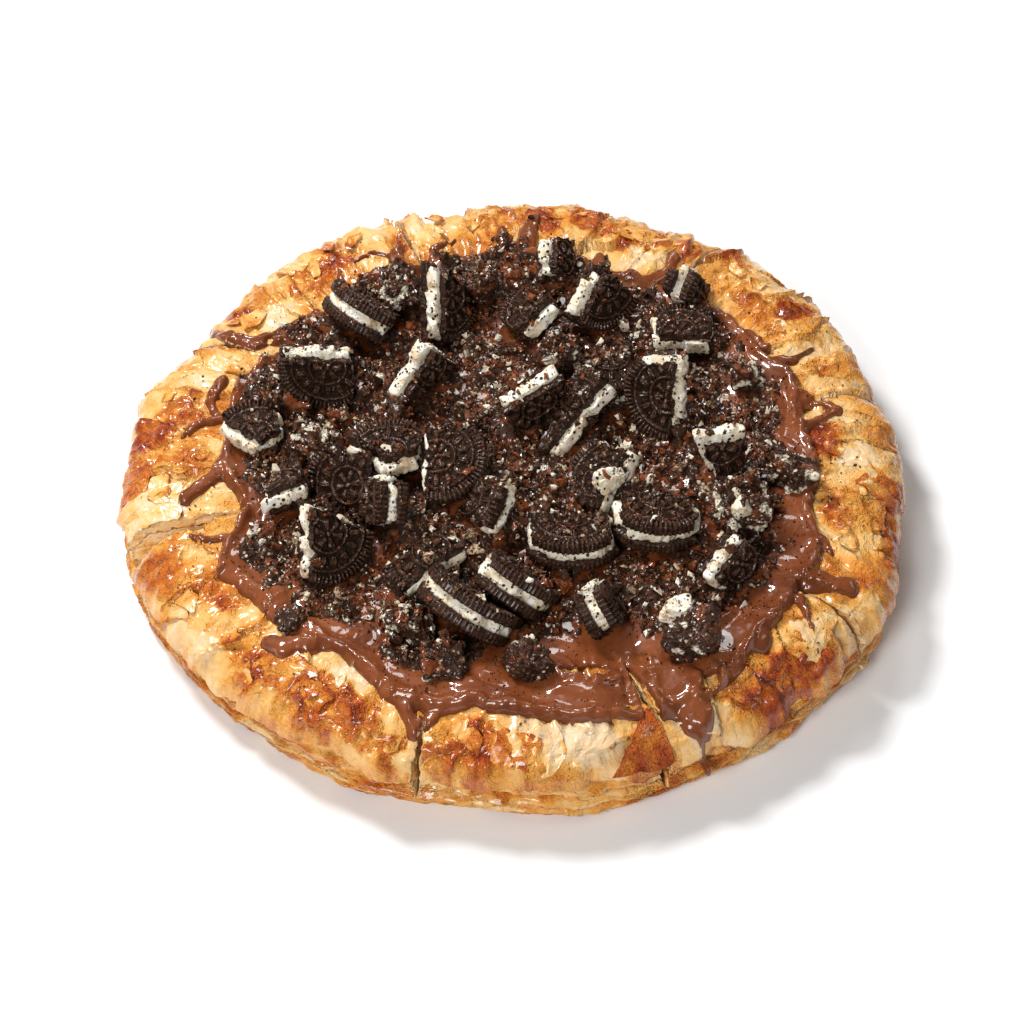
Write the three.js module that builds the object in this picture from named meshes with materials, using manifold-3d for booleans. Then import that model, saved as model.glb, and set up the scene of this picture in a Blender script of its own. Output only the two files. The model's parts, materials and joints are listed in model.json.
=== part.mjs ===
// Sweet feteer: a round puffed pastry of thin layers, cut into eight wedges that stay together,
// topped with chocolate spread, broken sandwich cookies with a cream filling, and crumbs.
// Millimetres, +Z up. The origin is the middle of the underside, -Y is the front.

import * as THREE from "three";
import { mergeVertices } from "three/addons/utils/BufferGeometryUtils.js";
import Module from "manifold-3d";

const wasm = await Module();
wasm.setup();

// ---- Driving dimensions ------------------------------------------------------------------

const GAP = 0.35; // clearance between pieces that touch

// Pastry. Its outline is a circle with a few slow waves: [waves round the rim, size, direction].
const RIM_RADIUS = 158;
const RIM_WAVES = [
  [2, 0.9, 48],
  [3, 1.5, -130],
  [5, 1.0, -143],
  [7, 0.5, 171],
  [9, 0.8, 60],
  [13, 0.7, 15],
];
const PASTRY_SEGMENTS = 68;

// The side and the puffed rim, from the underside up: [inset from the outline, height].
const SIDE = [
  [14, 0],
  [6, 1.5],
  [2, 5],
  [3.5, 8],
  [0.5, 10],
  [2.5, 13],
  [7, 15],
  [1, 17],
];
const TOP = [
  [0, 21],
  [1.5, 26],
  [5, 30.5],
  [10, 34],
  [17, 36.5],
  [26, 37.5],
  [36, 37],
  [48, 35.5],
  [70, 34.7],
  [158, 34.5],
];
const SIDE_WAVINESS = 1.1; // how far the layer edges wander in and out
const PUFF_WAVES = [
  [5, 1.1, 200],
  [9, 0.9, 40],
  [13, 0.8, -70],
];
const PUFF_FADE = 70; // the rim's unevenness dies out this far in

// Eight cuts, at the ends of four straight strokes: [direction, inner end, width at the rim].
const CUTS = [
  [-69.5, 118, 5.5],
  [-34, 132, 3.5],
  [13, 128, 3],
  [55, 112, 3],
  [111, 108, 4],
  [154, 118, 4],
  [197, 112, 13],
  [-104, 140, 4],
];
const CUT_FLOOR = 14;
const CUT_DIP = 2.2; // how far the crust sinks beside a cut
const CUT_DIP_WIDTH = 8;

// Flakes of crust that stand off the rim: [direction, inset, length, width, lean, turn].
const FLAKES = [
  [-73, 13, 26, 15, -24, 12],
  [-56, 9, 24, 10, -36, -8],
  [-122, 9, 24, 12, -36, -10],
  [-150, 8, 28, 10, -38, 8],
  [-171, 14, 22, 14, -22, 14],
  [146, 16, 24, 13, -18, -12],
  [128, 9, 22, 11, -36, 10],
  [84, 12, 24, 12, -26, -6],
  [34, 9, 26, 11, -36, 10],
  [-14, 10, 26, 12, -33, -10],
];
const FLAKE_THICKNESS = 1.4;
const FLAKE_LIFT = 1.5;

// Chocolate spread: how far it reaches every 15 degrees from +X, and its depth.
const SPREAD_REACH = [
  120, 120, 118, 117, 113, 117, 117, 115, 119, 115, 118, 121,
  120, 116, 130, 129, 128, 136, 133, 141, 145, 133, 133, 121,
];
const SPREAD_DEPTH = 3.8;
const SPREAD_SEGMENTS = 64;
const SPREAD_BED = 3; // how far its blank starts below the crust before the crust is cut away
// Its edge, from the blank's underside over the rounded lip: [inset, height above the crust].
const SPREAD_EDGE = [
  [9, -SPREAD_BED],
  [0.8, -1.6],
  [0, 0.5],
  [1, 2.2],
  [3.5, 3.3],
  [10, SPREAD_DEPTH],
];
const SPREAD_RINGS = [0.75, 0.5, 0.25]; // inner rings, as shares of the way out

// Runs and trails of spread past its edge: each is a path of [x, y, half width].
const TRAILS = [
  [[-105, 55, 4], [-118, 61, 4], [-128, 71, 3], [-131, 78, 1]],
  [[-112, 58, 3], [-101, 65, 3.5], [-88, 75, 3.5], [-80, 81, 3]],
  [[-118, 17, 3.5], [-125, 14, 3], [-133, 9, 2], [-135, 5, 1.2]],
  [[-117, -13, 5], [-124, -20, 3.5], [-131, -28, 4]],
  [[-112, -48, 3], [-122, -50, 2], [-128, -48, 1]],
  [[-107, -58, 8], [-110, -65, 7]],
  [[-77, -102, 5], [-88, -103, 5.5], [-93, -100, 5]],
  [[-64, -102, 6], [-54, -114, 5], [-43, -128, 4], [-38, -138, 4]],
  [[-38, -139, 4], [-32, -134, 2.5], [-27, -129, 3]],
  [[61, -124, 9], [66, -132, 8]],
  [[67, -138, 2], [70, -145, 1.2]],
  [[87, -93, 7], [90, -100, 7]],
  [[104, -69, 7], [115, -71, 6.5], [127, -73, 6]],
  [[107, -81, 3], [110, -93, 2], [112, -102, 1.5]],
  [[117, -49, 4], [122, -55, 1.5]],
  [[113, 30, 5], [122, 26, 2.5], [131, 22, 2.5]],
  [[117, 12, 4], [125, 18, 2.5], [131, 22, 2]],
  [[102, 47, 4], [114, 49, 2.5], [124, 57, 1.2]],
  [[96, 61, 6], [104, 56, 3]],
  [[53, 97, 4], [64, 104, 3.5], [68, 113, 3.5]],
  [[35, 109, 5], [36, 114, 3]],
  [[2, 114, 6], [5, 127, 5.5], [7, 137, 4]],
  [[-5, 121, 5], [-7, 129, 3]],
  [[-35, 109, 4], [-37, 116, 2], [-27, 123, 1.2]],
  [[-52, 106, 5], [-53, 115, 4]],
  [[-54, 112, 1.5], [-62, 114, 1.3], [-71, 109, 1]],
  [[-75, 95, 3], [-77, 103, 1.5]],
  [[-122, 35, 4], [-126, 24, 2.5], [-122, 16, 2]],
];
const TRAIL_SIDES = 7;

// Sandwich cookie: two wafers and the cream between them.
const COOKIE_RADIUS = 20;
const WAFER = 4.2;
const CREAM = 4.6;
const CREAM_INSET = 1.8; // the filling ends this far inside the wafers' edge
const WAFER_ROUND = 0.9; // rounding of a wafer's outer edge
const COOKIE_SEGMENTS = 14;
const CUTTER = 80; // a block large enough to take off any broken part

// Broken cookies. Each is [layers, x, y, z, lean direction, lean, breaks]: the point is the middle
// of the whole cookie, and a break is [direction, distance from the middle] in the cookie's plane.
// Layers: "both" wafers, "lower" cream under one wafer, "wafer" alone.
const COOKIES = [
  ["both", 63, 17, 52, -126, 63, [[-20, 3], [79, 15]]],
  ["both", -77, 32, 55, -89, 74, [[90, 4], [1, 11]]],
  ["both", -75, -58, 53, -52, 57, [[-165, 7], [80, 8]]],
  ["both", 79, -12, 55, -80, 82, [[103, 4], [-149, 8], [9, 12]]],
  ["both", -18, -86, 43, 46, 49, [[74, 5]]],
  ["both", -33, -63, 43, -90, 11, [[-51, 7], [129, 7], [27, 13]]],
  ["both", 21, -47, 42, 97, 13, [[91, 4], [0, 17], [180, 18]]],
  ["both", 54, -39, 43, 74, 15, [[87, 4], [179, 17], [-1, 15]]],
  ["both", -32, 72, 54, -30, 69, [[-152, 6], [73, 7], [109, 12]]],
  ["both", -104, -4, 43, -163, 5, [[-132, 3], [-47, 4], [11, 11]]],
  ["both", -51, -15, 45, 119, 8, [[-133, 4], [-72, 5], [0, 14]]],
  ["both", -90, -33, 47, 139, 20, [[-71, 3], [160, 7], [16, 9]]],
  ["both", 34, 79, 55, -51, 67, [[168, 5], [68, 6]]],
  ["both", 6, 16, 52, 116, 83, [[-83, 6], [-173, 14], [7, 13]]],
  ["both", 23, 10, 45, -165, 33, [[-52, 6], [148, 8]]],
  ["lower", -32, -15, 46, -106, 14, [[88, 13], [180, 4]]],
  ["lower", 34, -26, 45, -166, 42, [[-46, 5], [-129, 11], [45, 14], [175, 13]]],
  ["both", -3, -73, 43, 42, 50, [[72, 5], [162, 12]]],
  ["both", 67, 53, 44, 119, 8, [[-91, 3], [180, 11], [0, 14]]],
  ["both", 11, 66, 49, 179, 34, [[-58, 3], [48, 6], [-148, 14]]],
  ["both", -62, 72, 42, 46, 44, [[74, 5], [-16, 12]]],
  ["both", -56, -33, 41, -166, 70, [[61, 9], [-119, 9], [150, 8]]],
  ["both", 33, -82, 39, 11, 60, [[53, 6], [143, 9], [-37, 9]]],
  ["both", 81, -67, 48, -48, 75, [[153, 5], [71, 9], [-27, 11], [-102, 12]]],
  ["both", 15, 102, 46, -20, 60, [[-164, 5], [115, 8], [-65, 8], [16, 9]]],
  ["both", 73, 87, 42, 152, 90, [[24, 6], [-156, 6], [114, 8]]],
  ["both", -39, 34, 52, -43, 80, [[170, 5], [82, 7], [-54, 9]]],
  ["lower", -15, -32, 42, -173, 55, [[138, 6], [-132, 9], [48, 8]]],
  ["wafer", -66, -27, 45, -128, 54, [[-13, 9], [80, 13]]],
  ["both", 38, 41, 40, 90, 7, [[90, 3], [180, 9], [0, 8]]],
];

// Lumps of crushed cookie: [x, y, z, radius].
const LUMPS = [
  [-104, 22, 45, 7.2],
  [-50, 84, 44, 7.5],
  [-17, 89, 43, 8.5],
  [16, 46, 44, 7.5],
  [85, -38, 44, 10.5],
  [108, -18, 43, 8],
  [64, -103, 43, 9],
  [3, -112, 42, 8],
  [-28, -112, 42, 7],
  [-85, -93, 41, 5.5],
  [-78, -2, 42, 7.5],
  [-41, -94, 41, 8],
  [95, 36, 42, 6],
  [40, 49, 41, 7],
];
const LUMP_ROUGHNESS = 0.16; // how far a lump's corners wander, as a share of its radius
const LUMP_FLATTENING = 0.85;

// Loose pieces of cream, as the lumps.
const CREAM_PIECES = [
  [59, -88, 42, 5.3],
  [86, -46, 53, 4],
  [36, -28, 51, 6.5],
];

// Coarse crumbs stuck in the spread.
const CRUMB_COUNT = 20;
const CRUMB_SIZES = [2.3, 4.2];
const CRUMB_SEED = 7;

// ---- Small helpers -----------------------------------------------------------------------

const degrees = THREE.MathUtils.degToRad;
const mix = THREE.MathUtils.lerp;

// A seeded stream of numbers between 0 and 1.
function randomStream(seed) {
  let state = seed >>> 0;
  return () => {
    state = (Math.imul(state, 1664525) + 1013904223) >>> 0;
    return state / 2 ** 32;
  };
}

// A sum of waves round the pastry, each given as [waves, size, direction in degrees].
function waves(list, angle) {
  return list.reduce((sum, [count, size, turn]) => sum + size * Math.cos(count * angle - degrees(turn)), 0);
}

// The height of a line through [position, height] points, at one position.
function along(points, position) {
  const last = points.length - 1;
  if (position <= points[0][0]) return points[0][1];
  if (position >= points[last][0]) return points[last][1];
  const next = points.findIndex(([at]) => at >= position);
  const [from, low] = points[next - 1];
  const [to, high] = points[next];
  return mix(low, high, (position - from) / (to - from));
}

// A closed surface turned about the Z axis and then reshaped: place(angle, ring) gives the
// point of each ring, and the first and the last ring are single points.
function turned(rings, segments, place) {
  const outline = [];
  for (let ring = 0; ring < rings; ring += 1) {
    const onAxis = ring === 0 || ring === rings - 1;
    outline.push(new THREE.Vector2(onAxis ? 0 : 1, ring));
  }
  const geometry = new THREE.LatheGeometry(outline, segments);
  const positions = geometry.attributes.position;
  for (let column = 0; column <= segments; column += 1) {
    const angle = ((column % segments) / segments) * 2 * Math.PI - Math.PI / 2;
    for (let ring = 0; ring < rings; ring += 1) {
      positions.setXYZ(column * rings + ring, ...place(angle, ring));
    }
  }
  return geometry;
}

// A geometry as a solid body for cutting and joining.
function solid(geometry) {
  geometry.deleteAttribute("normal");
  geometry.deleteAttribute("uv");
  const merged = mergeVertices(geometry);
  const corners = merged.index.array;
  const kept = [];
  for (let i = 0; i < corners.length; i += 3) {
    const [a, b, c] = corners.slice(i, i + 3);
    if (a !== b && b !== c && c !== a) kept.push(a, b, c);
  }
  const vertProperties = Float32Array.from(merged.attributes.position.array);
  return new wasm.Manifold(new wasm.Mesh({ numProp: 3, vertProperties, triVerts: Uint32Array.from(kept) }));
}

// The biggest of the separate bodies that a cut leaves.
function largest(body) {
  return body.decompose().reduce((best, piece) => (piece.volume() > best.volume() ? piece : best));
}

// A solid body as a named mesh.
function meshOf(name, body, material) {
  const { vertProperties, triVerts } = body.getMesh();
  const geometry = new THREE.BufferGeometry();
  geometry.setAttribute("position", new THREE.BufferAttribute(vertProperties, 3));
  geometry.setIndex(new THREE.BufferAttribute(triVerts, 1));
  geometry.computeVertexNormals();
  const mesh = new THREE.Mesh(geometry, material);
  mesh.name = name;
  return mesh;
}

// ---- Pastry ------------------------------------------------------------------------------

const outlineRadius = (angle) => RIM_RADIUS + waves(RIM_WAVES, angle);

// How near a direction is to a cut at the rim, from 0 to 1.
function nearCut(angle) {
  const distances = CUTS.map(([direction]) => {
    const turn = angle - degrees(direction);
    return Math.abs(Math.atan2(Math.sin(turn), Math.cos(turn))) * RIM_RADIUS;
  });
  return Math.exp(-((Math.min(...distances) / CUT_DIP_WIDTH) ** 2));
}

// The rise and fall of the puffed rim, which fades towards the middle.
function puff(angle, inset) {
  const fade = Math.max(0, 1 - inset / PUFF_FADE);
  return fade * (waves(PUFF_WAVES, angle + inset / RIM_RADIUS) - CUT_DIP * nearCut(angle));
}

// The height of the crust at a place on top of it.
function crustHeight(x, y) {
  const angle = Math.atan2(y, x);
  const inset = outlineRadius(angle) - Math.hypot(x, y);
  return along(TOP, inset) + puff(angle, inset);
}

const polar = (angle, radius) => [radius * Math.cos(angle), radius * Math.sin(angle)];

// The uncut pastry, lifted by a small gap when it is used to trim what lies on it.
function pastryBlank(lift) {
  const rings = 1 + SIDE.length + TOP.length;
  const geometry = turned(rings, PASTRY_SEGMENTS, (angle, ring) => {
    if (ring === 0) return [0, 0, lift];
    if (ring <= SIDE.length) {
      const [inset, height] = SIDE[ring - 1];
      const wave = Math.cos(7 * angle + 2.3 * ring) * Math.cos(4 * angle - ring);
      const wander = ring === 1 ? 0 : SIDE_WAVINESS * wave;
      return [...polar(angle, outlineRadius(angle) - inset + wander), height + lift];
    }
    const [inset, height] = TOP[ring - 1 - SIDE.length];
    if (ring === rings - 1) return [0, 0, height + lift];
    return [...polar(angle, outlineRadius(angle) - inset), height + puff(angle, inset) + lift];
  });
  return solid(geometry);
}

// The wedge of air that a cut opens towards the rim.
function cutWedge([direction, inner, width]) {
  const outer = RIM_RADIUS + 20;
  const half = ((width / 2) * (outer - inner)) / (RIM_RADIUS - inner);
  const shape = new THREE.Shape([
    new THREE.Vector2(inner, 0),
    new THREE.Vector2(outer, -half),
    new THREE.Vector2(outer, half),
  ]);
  const geometry = new THREE.ExtrudeGeometry(shape, { depth: RIM_RADIUS, bevelEnabled: false });
  geometry.rotateZ(degrees(direction));
  geometry.translate(0, 0, CUT_FLOOR);
  return solid(geometry);
}

// A torn flake of crust, bent down with the rim's slope and standing a little off it.
function flake([direction, inset, length, width, lean, turn], grow) {
  const corners = [[-0.5, -0.2], [-0.1, -0.5], [0.35, -0.35], [0.5, 0.1], [0.2, 0.5], [-0.3, 0.4]];
  const shape = new THREE.Shape(
    corners.map(([x, y]) => new THREE.Vector2(x * (length + 4 * grow), y * (width + 4 * grow))),
  );
  const depth = FLAKE_THICKNESS + 2 * grow;
  const geometry = new THREE.ExtrudeGeometry(shape, { depth, bevelEnabled: false });
  geometry.translate(0, 0, FLAKE_LIFT - FLAKE_THICKNESS - grow);
  geometry.rotateZ(degrees(turn));
  geometry.rotateX(degrees(lean));
  const angle = degrees(direction);
  const [x, y] = polar(angle, outlineRadius(angle) - inset);
  geometry.rotateZ(angle + Math.PI / 2);
  geometry.translate(x, y, crustHeight(x, y));
  return solid(geometry);
}

function pastry() {
  const wedges = CUTS.map(cutWedge);
  const cut = wedges.reduce((body, wedge) => body.subtract(wedge), pastryBlank(0));
  return largest(FLAKES.reduce((body, row) => body.add(flake(row, 0)), cut));
}

// ---- Cookies -----------------------------------------------------------------------------

// The turned section of a cookie, from the middle of its underside to the middle of its top.
function cookieSection(layers, grow) {
  const rim = COOKIE_RADIUS + grow;
  const waist = COOKIE_RADIUS - CREAM_INSET + grow;
  const half = CREAM / 2;
  const outer = half + WAFER + grow;
  if (layers === "both") {
    return [
      [0, -outer],
      [rim - WAFER_ROUND, -outer],
      [rim, WAFER_ROUND - outer],
      [rim, grow - half],
      [waist, grow - half],
      [waist, half - grow],
      [rim, half - grow],
      [rim, outer - WAFER_ROUND],
      [rim - WAFER_ROUND, outer],
      [0, outer],
    ];
  }
  const bottom = (layers === "lower" ? -CREAM : -WAFER / 2) - grow;
  const seam = layers === "lower" ? -grow : bottom;
  const top = (layers === "lower" ? WAFER : WAFER / 2) + grow;
  const wafer = [
    [rim, seam],
    [rim, top - WAFER_ROUND],
    [rim - WAFER_ROUND, top],
    [0, top],
  ];
  const filling = [
    [waist, bottom],
    [waist, seam],
  ];
  return [[0, bottom], ...(layers === "lower" ? filling : []), ...wafer];
}

// One broken cookie; a copy grown by the gap is what its neighbours keep clear of.
function brokenCookie([layers, x, y, z, leanDirection, lean, breaks], grow) {
  const section = cookieSection(layers, grow).map(([radius, height]) => new THREE.Vector2(radius, height));
  const disc = new THREE.LatheGeometry(section, COOKIE_SEGMENTS);
  disc.rotateX(Math.PI / 2);
  let body = solid(disc);
  for (const [direction, distance] of breaks) {
    const block = new THREE.BoxGeometry(CUTTER, CUTTER, CUTTER);
    block.translate(distance + grow + CUTTER / 2, 0, 0);
    block.rotateZ(degrees(direction));
    body = body.subtract(solid(block));
  }
  const axis = new THREE.Vector3(-Math.sin(degrees(leanDirection)), Math.cos(degrees(leanDirection)), 0);
  const placed = new THREE.Matrix4().makeRotationAxis(axis, degrees(lean)).setPosition(x, y, z);
  return body.transform(placed.elements);
}

// A lump of crushed cookie, uneven all over.
function lump([x, y, z, radius], grow, seed) {
  const random = randomStream(seed);
  const ball = new THREE.IcosahedronGeometry(1, 1);
  ball.deleteAttribute("normal");
  ball.deleteAttribute("uv");
  const merged = mergeVertices(ball);
  const positions = merged.attributes.position;
  for (let i = 0; i < positions.count; i += 1) {
    const reach = radius * (1 + LUMP_ROUGHNESS * (2 * random() - 1)) + grow;
    const point = new THREE.Vector3().fromBufferAttribute(positions, i).multiplyScalar(reach);
    positions.setXYZ(i, point.x, point.y, LUMP_FLATTENING * point.z);
  }
  merged.translate(x, y, z);
  return solid(merged);
}

// ---- Spread ------------------------------------------------------------------------------

// How far the spread reaches in one direction, smoothed between the given reaches.
function spreadReach(angle) {
  const count = SPREAD_REACH.length;
  const place = ((angle / (2 * Math.PI)) * count + count) % count;
  const index = Math.floor(place);
  const share = 0.5 - 0.5 * Math.cos(Math.PI * (place - index));
  const ripple = 1.3 * Math.cos(17 * angle + 1) + 0.9 * Math.cos(11 * angle + 2.5);
  return mix(SPREAD_REACH[index], SPREAD_REACH[(index + 1) % count], share) + ripple;
}

// The gentle lumpiness of the spread where crumbs lie under it.
const spreadLumps = (x, y) => 0.6 * Math.sin(x / 9 + 1) * Math.cos(y / 11) + 0.4 * Math.sin((x - y) / 6);

function pool(grow) {
  const edge = SPREAD_EDGE.length;
  const rings = 2 + edge + SPREAD_RINGS.length;
  return solid(turned(rings, SPREAD_SEGMENTS, (angle, ring) => {
    if (ring === 0) return [0, 0, crustHeight(0, 0) - SPREAD_BED];
    if (ring === rings - 1) return [0, 0, crustHeight(0, 0) + SPREAD_DEPTH + grow];
    const share = ring <= edge ? 1 : SPREAD_RINGS[ring - edge - 1];
    const [inset, height] = SPREAD_EDGE[Math.min(ring, edge) - 1];
    const [x, y] = polar(angle, (spreadReach(angle) + grow - inset) * share);
    const lumps = ring < edge ? 0 : spreadLumps(x, y);
    return [x, y, crustHeight(x, y) + height + lumps + grow];
  }));
}

// A run of spread along its path: a flattened tube with a rounded tip that lies on the crust.
function trail(path, grow) {
  const stations = path.map(([x, y, half]) => ({ at: new THREE.Vector2(x, y), half: half + grow }));
  const before = stations[stations.length - 2];
  const tip = stations[stations.length - 1];
  const onward = tip.at.clone().sub(before.at).normalize();
  const start = stations[0];
  const back = start.at.clone().sub(stations[1].at).normalize();
  const bodyStations = [
    { at: start.at.clone().addScaledVector(back, start.half), half: 0 },
    ...stations,
    { at: tip.at.clone().addScaledVector(onward, 0.65 * tip.half), half: 0.75 * tip.half },
    { at: tip.at.clone().addScaledVector(onward, tip.half), half: 0 },
  ];
  const last = bodyStations.length - 1;
  return solid(turned(bodyStations.length, TRAIL_SIDES, (angle, ring) => {
    const { at, half } = bodyStations[ring];
    const ahead = bodyStations[Math.min(ring + 1, last)].at.clone();
    const heading = ahead.sub(bodyStations[Math.max(ring - 1, 0)].at).normalize();
    const thick = half === 0 ? 0 : 0.42 * half + 1.1;
    const x = at.x - heading.y * half * Math.cos(angle);
    const y = at.y + heading.x * half * Math.cos(angle);
    return [x, y, crustHeight(x, y) + thick * (Math.sin(angle) - 0.15)];
  }));
}

// Coarse crumbs at open places between the cookies.
function crumbs() {
  const random = randomStream(CRUMB_SEED);
  const taken = [
    ...COOKIES.map(([, x, y]) => [x, y, 0.8 * COOKIE_RADIUS]),
    ...LUMPS.map(([x, y, , radius]) => [x, y, radius]),
  ];
  const bodies = [];
  while (bodies.length < CRUMB_COUNT) {
    const angle = 2 * Math.PI * random();
    const size = mix(...CRUMB_SIZES, random());
    const [x, y] = polar(angle, (spreadReach(angle) - 8) * Math.sqrt(random()));
    const turn = 2 * Math.PI * random();
    const touches = ([otherX, otherY, radius]) => Math.hypot(x - otherX, y - otherY) < radius + size + 1;
    if (taken.some(touches)) continue;
    taken.push([x, y, size]);
    const geometry = new THREE.IcosahedronGeometry(size, 0);
    geometry.scale(1, 0.8, 0.8);
    geometry.rotateX(turn);
    geometry.rotateZ(turn);
    geometry.translate(x, y, crustHeight(x, y) + SPREAD_DEPTH + 0.35 * size);
    bodies.push(solid(geometry));
  }
  return bodies;
}

// ---- Assembly ----------------------------------------------------------------------------

const crust = new THREE.MeshStandardMaterial({ color: 0xd9a15c, roughness: 0.6, metalness: 0 });
const chocolate = new THREE.MeshStandardMaterial({ color: 0x5a3220, roughness: 0.25, metalness: 0 });
const biscuit = new THREE.MeshStandardMaterial({ color: 0x2b201d, roughness: 0.8, metalness: 0 });
const cream = new THREE.MeshStandardMaterial({ color: 0xf0e6cf, roughness: 0.6, metalness: 0 });

const group = new THREE.Group();
group.add(meshOf("pastry", pastry(), crust));

// All the spread, and a copy grown by the gap, which the toppings keep clear of.
const poured = (grow) => TRAILS.reduce((body, path) => body.add(trail(path, grow)), pool(grow));
const crustTrim = FLAKES.reduce((body, row) => body.add(flake(row, GAP)), pastryBlank(GAP));
const spread = crumbs().reduce((body, crumb) => body.add(crumb), poured(0)).subtract(crustTrim);
group.add(meshOf("chocolate", largest(spread), chocolate));

const beneath = crustTrim.add(poured(GAP));
const placed = [];

// Adds one topping, trimmed by what it lies on and by the toppings placed before it.
function addTopping(name, index, makeBody, material) {
  const trimmed = placed.reduce((rest, other) => rest.subtract(other), makeBody(0).subtract(beneath));
  group.add(meshOf(`${name}_${String(index + 1).padStart(2, "0")}`, largest(trimmed), material));
  placed.push(makeBody(GAP));
}

COOKIES.forEach((row, index) => addTopping("cookie", index, (grow) => brokenCookie(row, grow), biscuit));
LUMPS.forEach((row, index) => addTopping("lump", index, (grow) => lump(row, grow, index), biscuit));
CREAM_PIECES.forEach((row, index) => addTopping("cream", index, (grow) => lump(row, grow, index), cream));

export default group;
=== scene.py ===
"""Sweet feteer: a puffed, layered pastry with chocolate spread and broken sandwich cookies.

The shapes are worked out in millimetres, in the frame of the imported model, and each finished mesh
is scaled to metres where it becomes an object.
"""

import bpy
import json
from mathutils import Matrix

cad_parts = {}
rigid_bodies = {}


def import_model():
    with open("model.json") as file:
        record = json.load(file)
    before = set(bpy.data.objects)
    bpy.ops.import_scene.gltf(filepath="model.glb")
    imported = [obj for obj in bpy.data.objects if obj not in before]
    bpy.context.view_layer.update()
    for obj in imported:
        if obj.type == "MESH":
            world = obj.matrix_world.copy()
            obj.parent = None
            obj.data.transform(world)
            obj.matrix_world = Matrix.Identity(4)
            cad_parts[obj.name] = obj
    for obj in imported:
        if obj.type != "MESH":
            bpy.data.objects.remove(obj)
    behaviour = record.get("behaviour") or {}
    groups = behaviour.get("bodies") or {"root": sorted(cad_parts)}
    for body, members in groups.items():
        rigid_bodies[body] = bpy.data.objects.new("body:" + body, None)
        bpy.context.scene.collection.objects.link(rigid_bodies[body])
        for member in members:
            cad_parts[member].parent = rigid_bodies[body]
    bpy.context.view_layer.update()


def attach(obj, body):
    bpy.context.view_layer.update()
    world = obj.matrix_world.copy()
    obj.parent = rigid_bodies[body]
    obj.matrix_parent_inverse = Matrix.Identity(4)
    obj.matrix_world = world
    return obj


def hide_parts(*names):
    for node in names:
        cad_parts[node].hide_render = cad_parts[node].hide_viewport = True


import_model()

import json
import math

import bmesh
import bpy
import numpy as np
from bpy.props import FloatProperty, FloatVectorProperty, IntProperty, PointerProperty
from mathutils import Matrix, Vector
from mathutils.bvhtree import BVHTree

bl_info = {
    "name": "Sweet Feteer",
    "version": (1, 0, 0),
    "blender": (4, 5, 0),
    "location": "3D View > Sidebar > Feteer",
    "description": "Builds a layered pastry with chocolate spread, broken cookies and crumbs",
    "category": "Add Mesh",
}

MM = 0.001


# ---- Sizes that the model in the frame is built from, in millimetres and degrees ------------

RIM_RADIUS = 158.0
# The waves of the outline: how many round it, height, direction of one crest.
RIM_WAVES = ((2, 0.9, 48), (3, 1.5, -130), (5, 1.0, -143), (7, 0.5, 171), (9, 0.8, 60),
             (13, 0.7, 15))
# The side's and the top's profiles, as (inset from the outline, height).
SIDE = ((14, 0), (6, 1.5), (2, 5), (3.5, 8), (0.5, 10), (2.5, 13), (7, 15), (1, 17))
SIDE_WAVINESS = 1.1  # how far the layers of the side wander in and out
TOP = ((0, 21), (1.5, 26), (5, 30.5), (10, 34), (17, 36.5), (26, 37.5), (36, 37), (48, 35.5),
       (70, 34.7), (158, 34.5))
PUFF_WAVES = ((5, 1.1, 200), (9, 0.9, 40), (13, 0.8, -70))
PUFF_FADE = 70.0
# The cuts: direction, radius where each begins, width at the rim.
CUTS = ((-69.5, 118, 5.5), (-34, 132, 3.5), (13, 128, 3), (55, 112, 3),
        (111, 108, 4), (154, 118, 4), (197, 112, 13), (-104, 140, 4))
CUT_FLOOR = 14.0
CUT_DIP = 2.2
CUT_DIP_WIDTH = 8.0
CUT_REACH = 176.0  # radius and height to which the cuts open the air
CUT_TOP = 52.0

# Torn flakes that stand off the rim: direction, inset, length, width, lean, turn.
FLAKES = (
    (-73, 13, 26, 15, -24, 12), (-56, 9, 24, 10, -36, -8), (-122, 9, 24, 12, -36, -10),
    (-150, 8, 28, 10, -38, 8), (-171, 14, 22, 14, -22, 14), (146, 16, 24, 13, -18, -12),
    (128, 9, 22, 11, -36, 10), (84, 12, 24, 12, -26, -6), (34, 9, 26, 11, -36, 10),
    (-14, 10, 26, 12, -33, -10),
)

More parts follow.
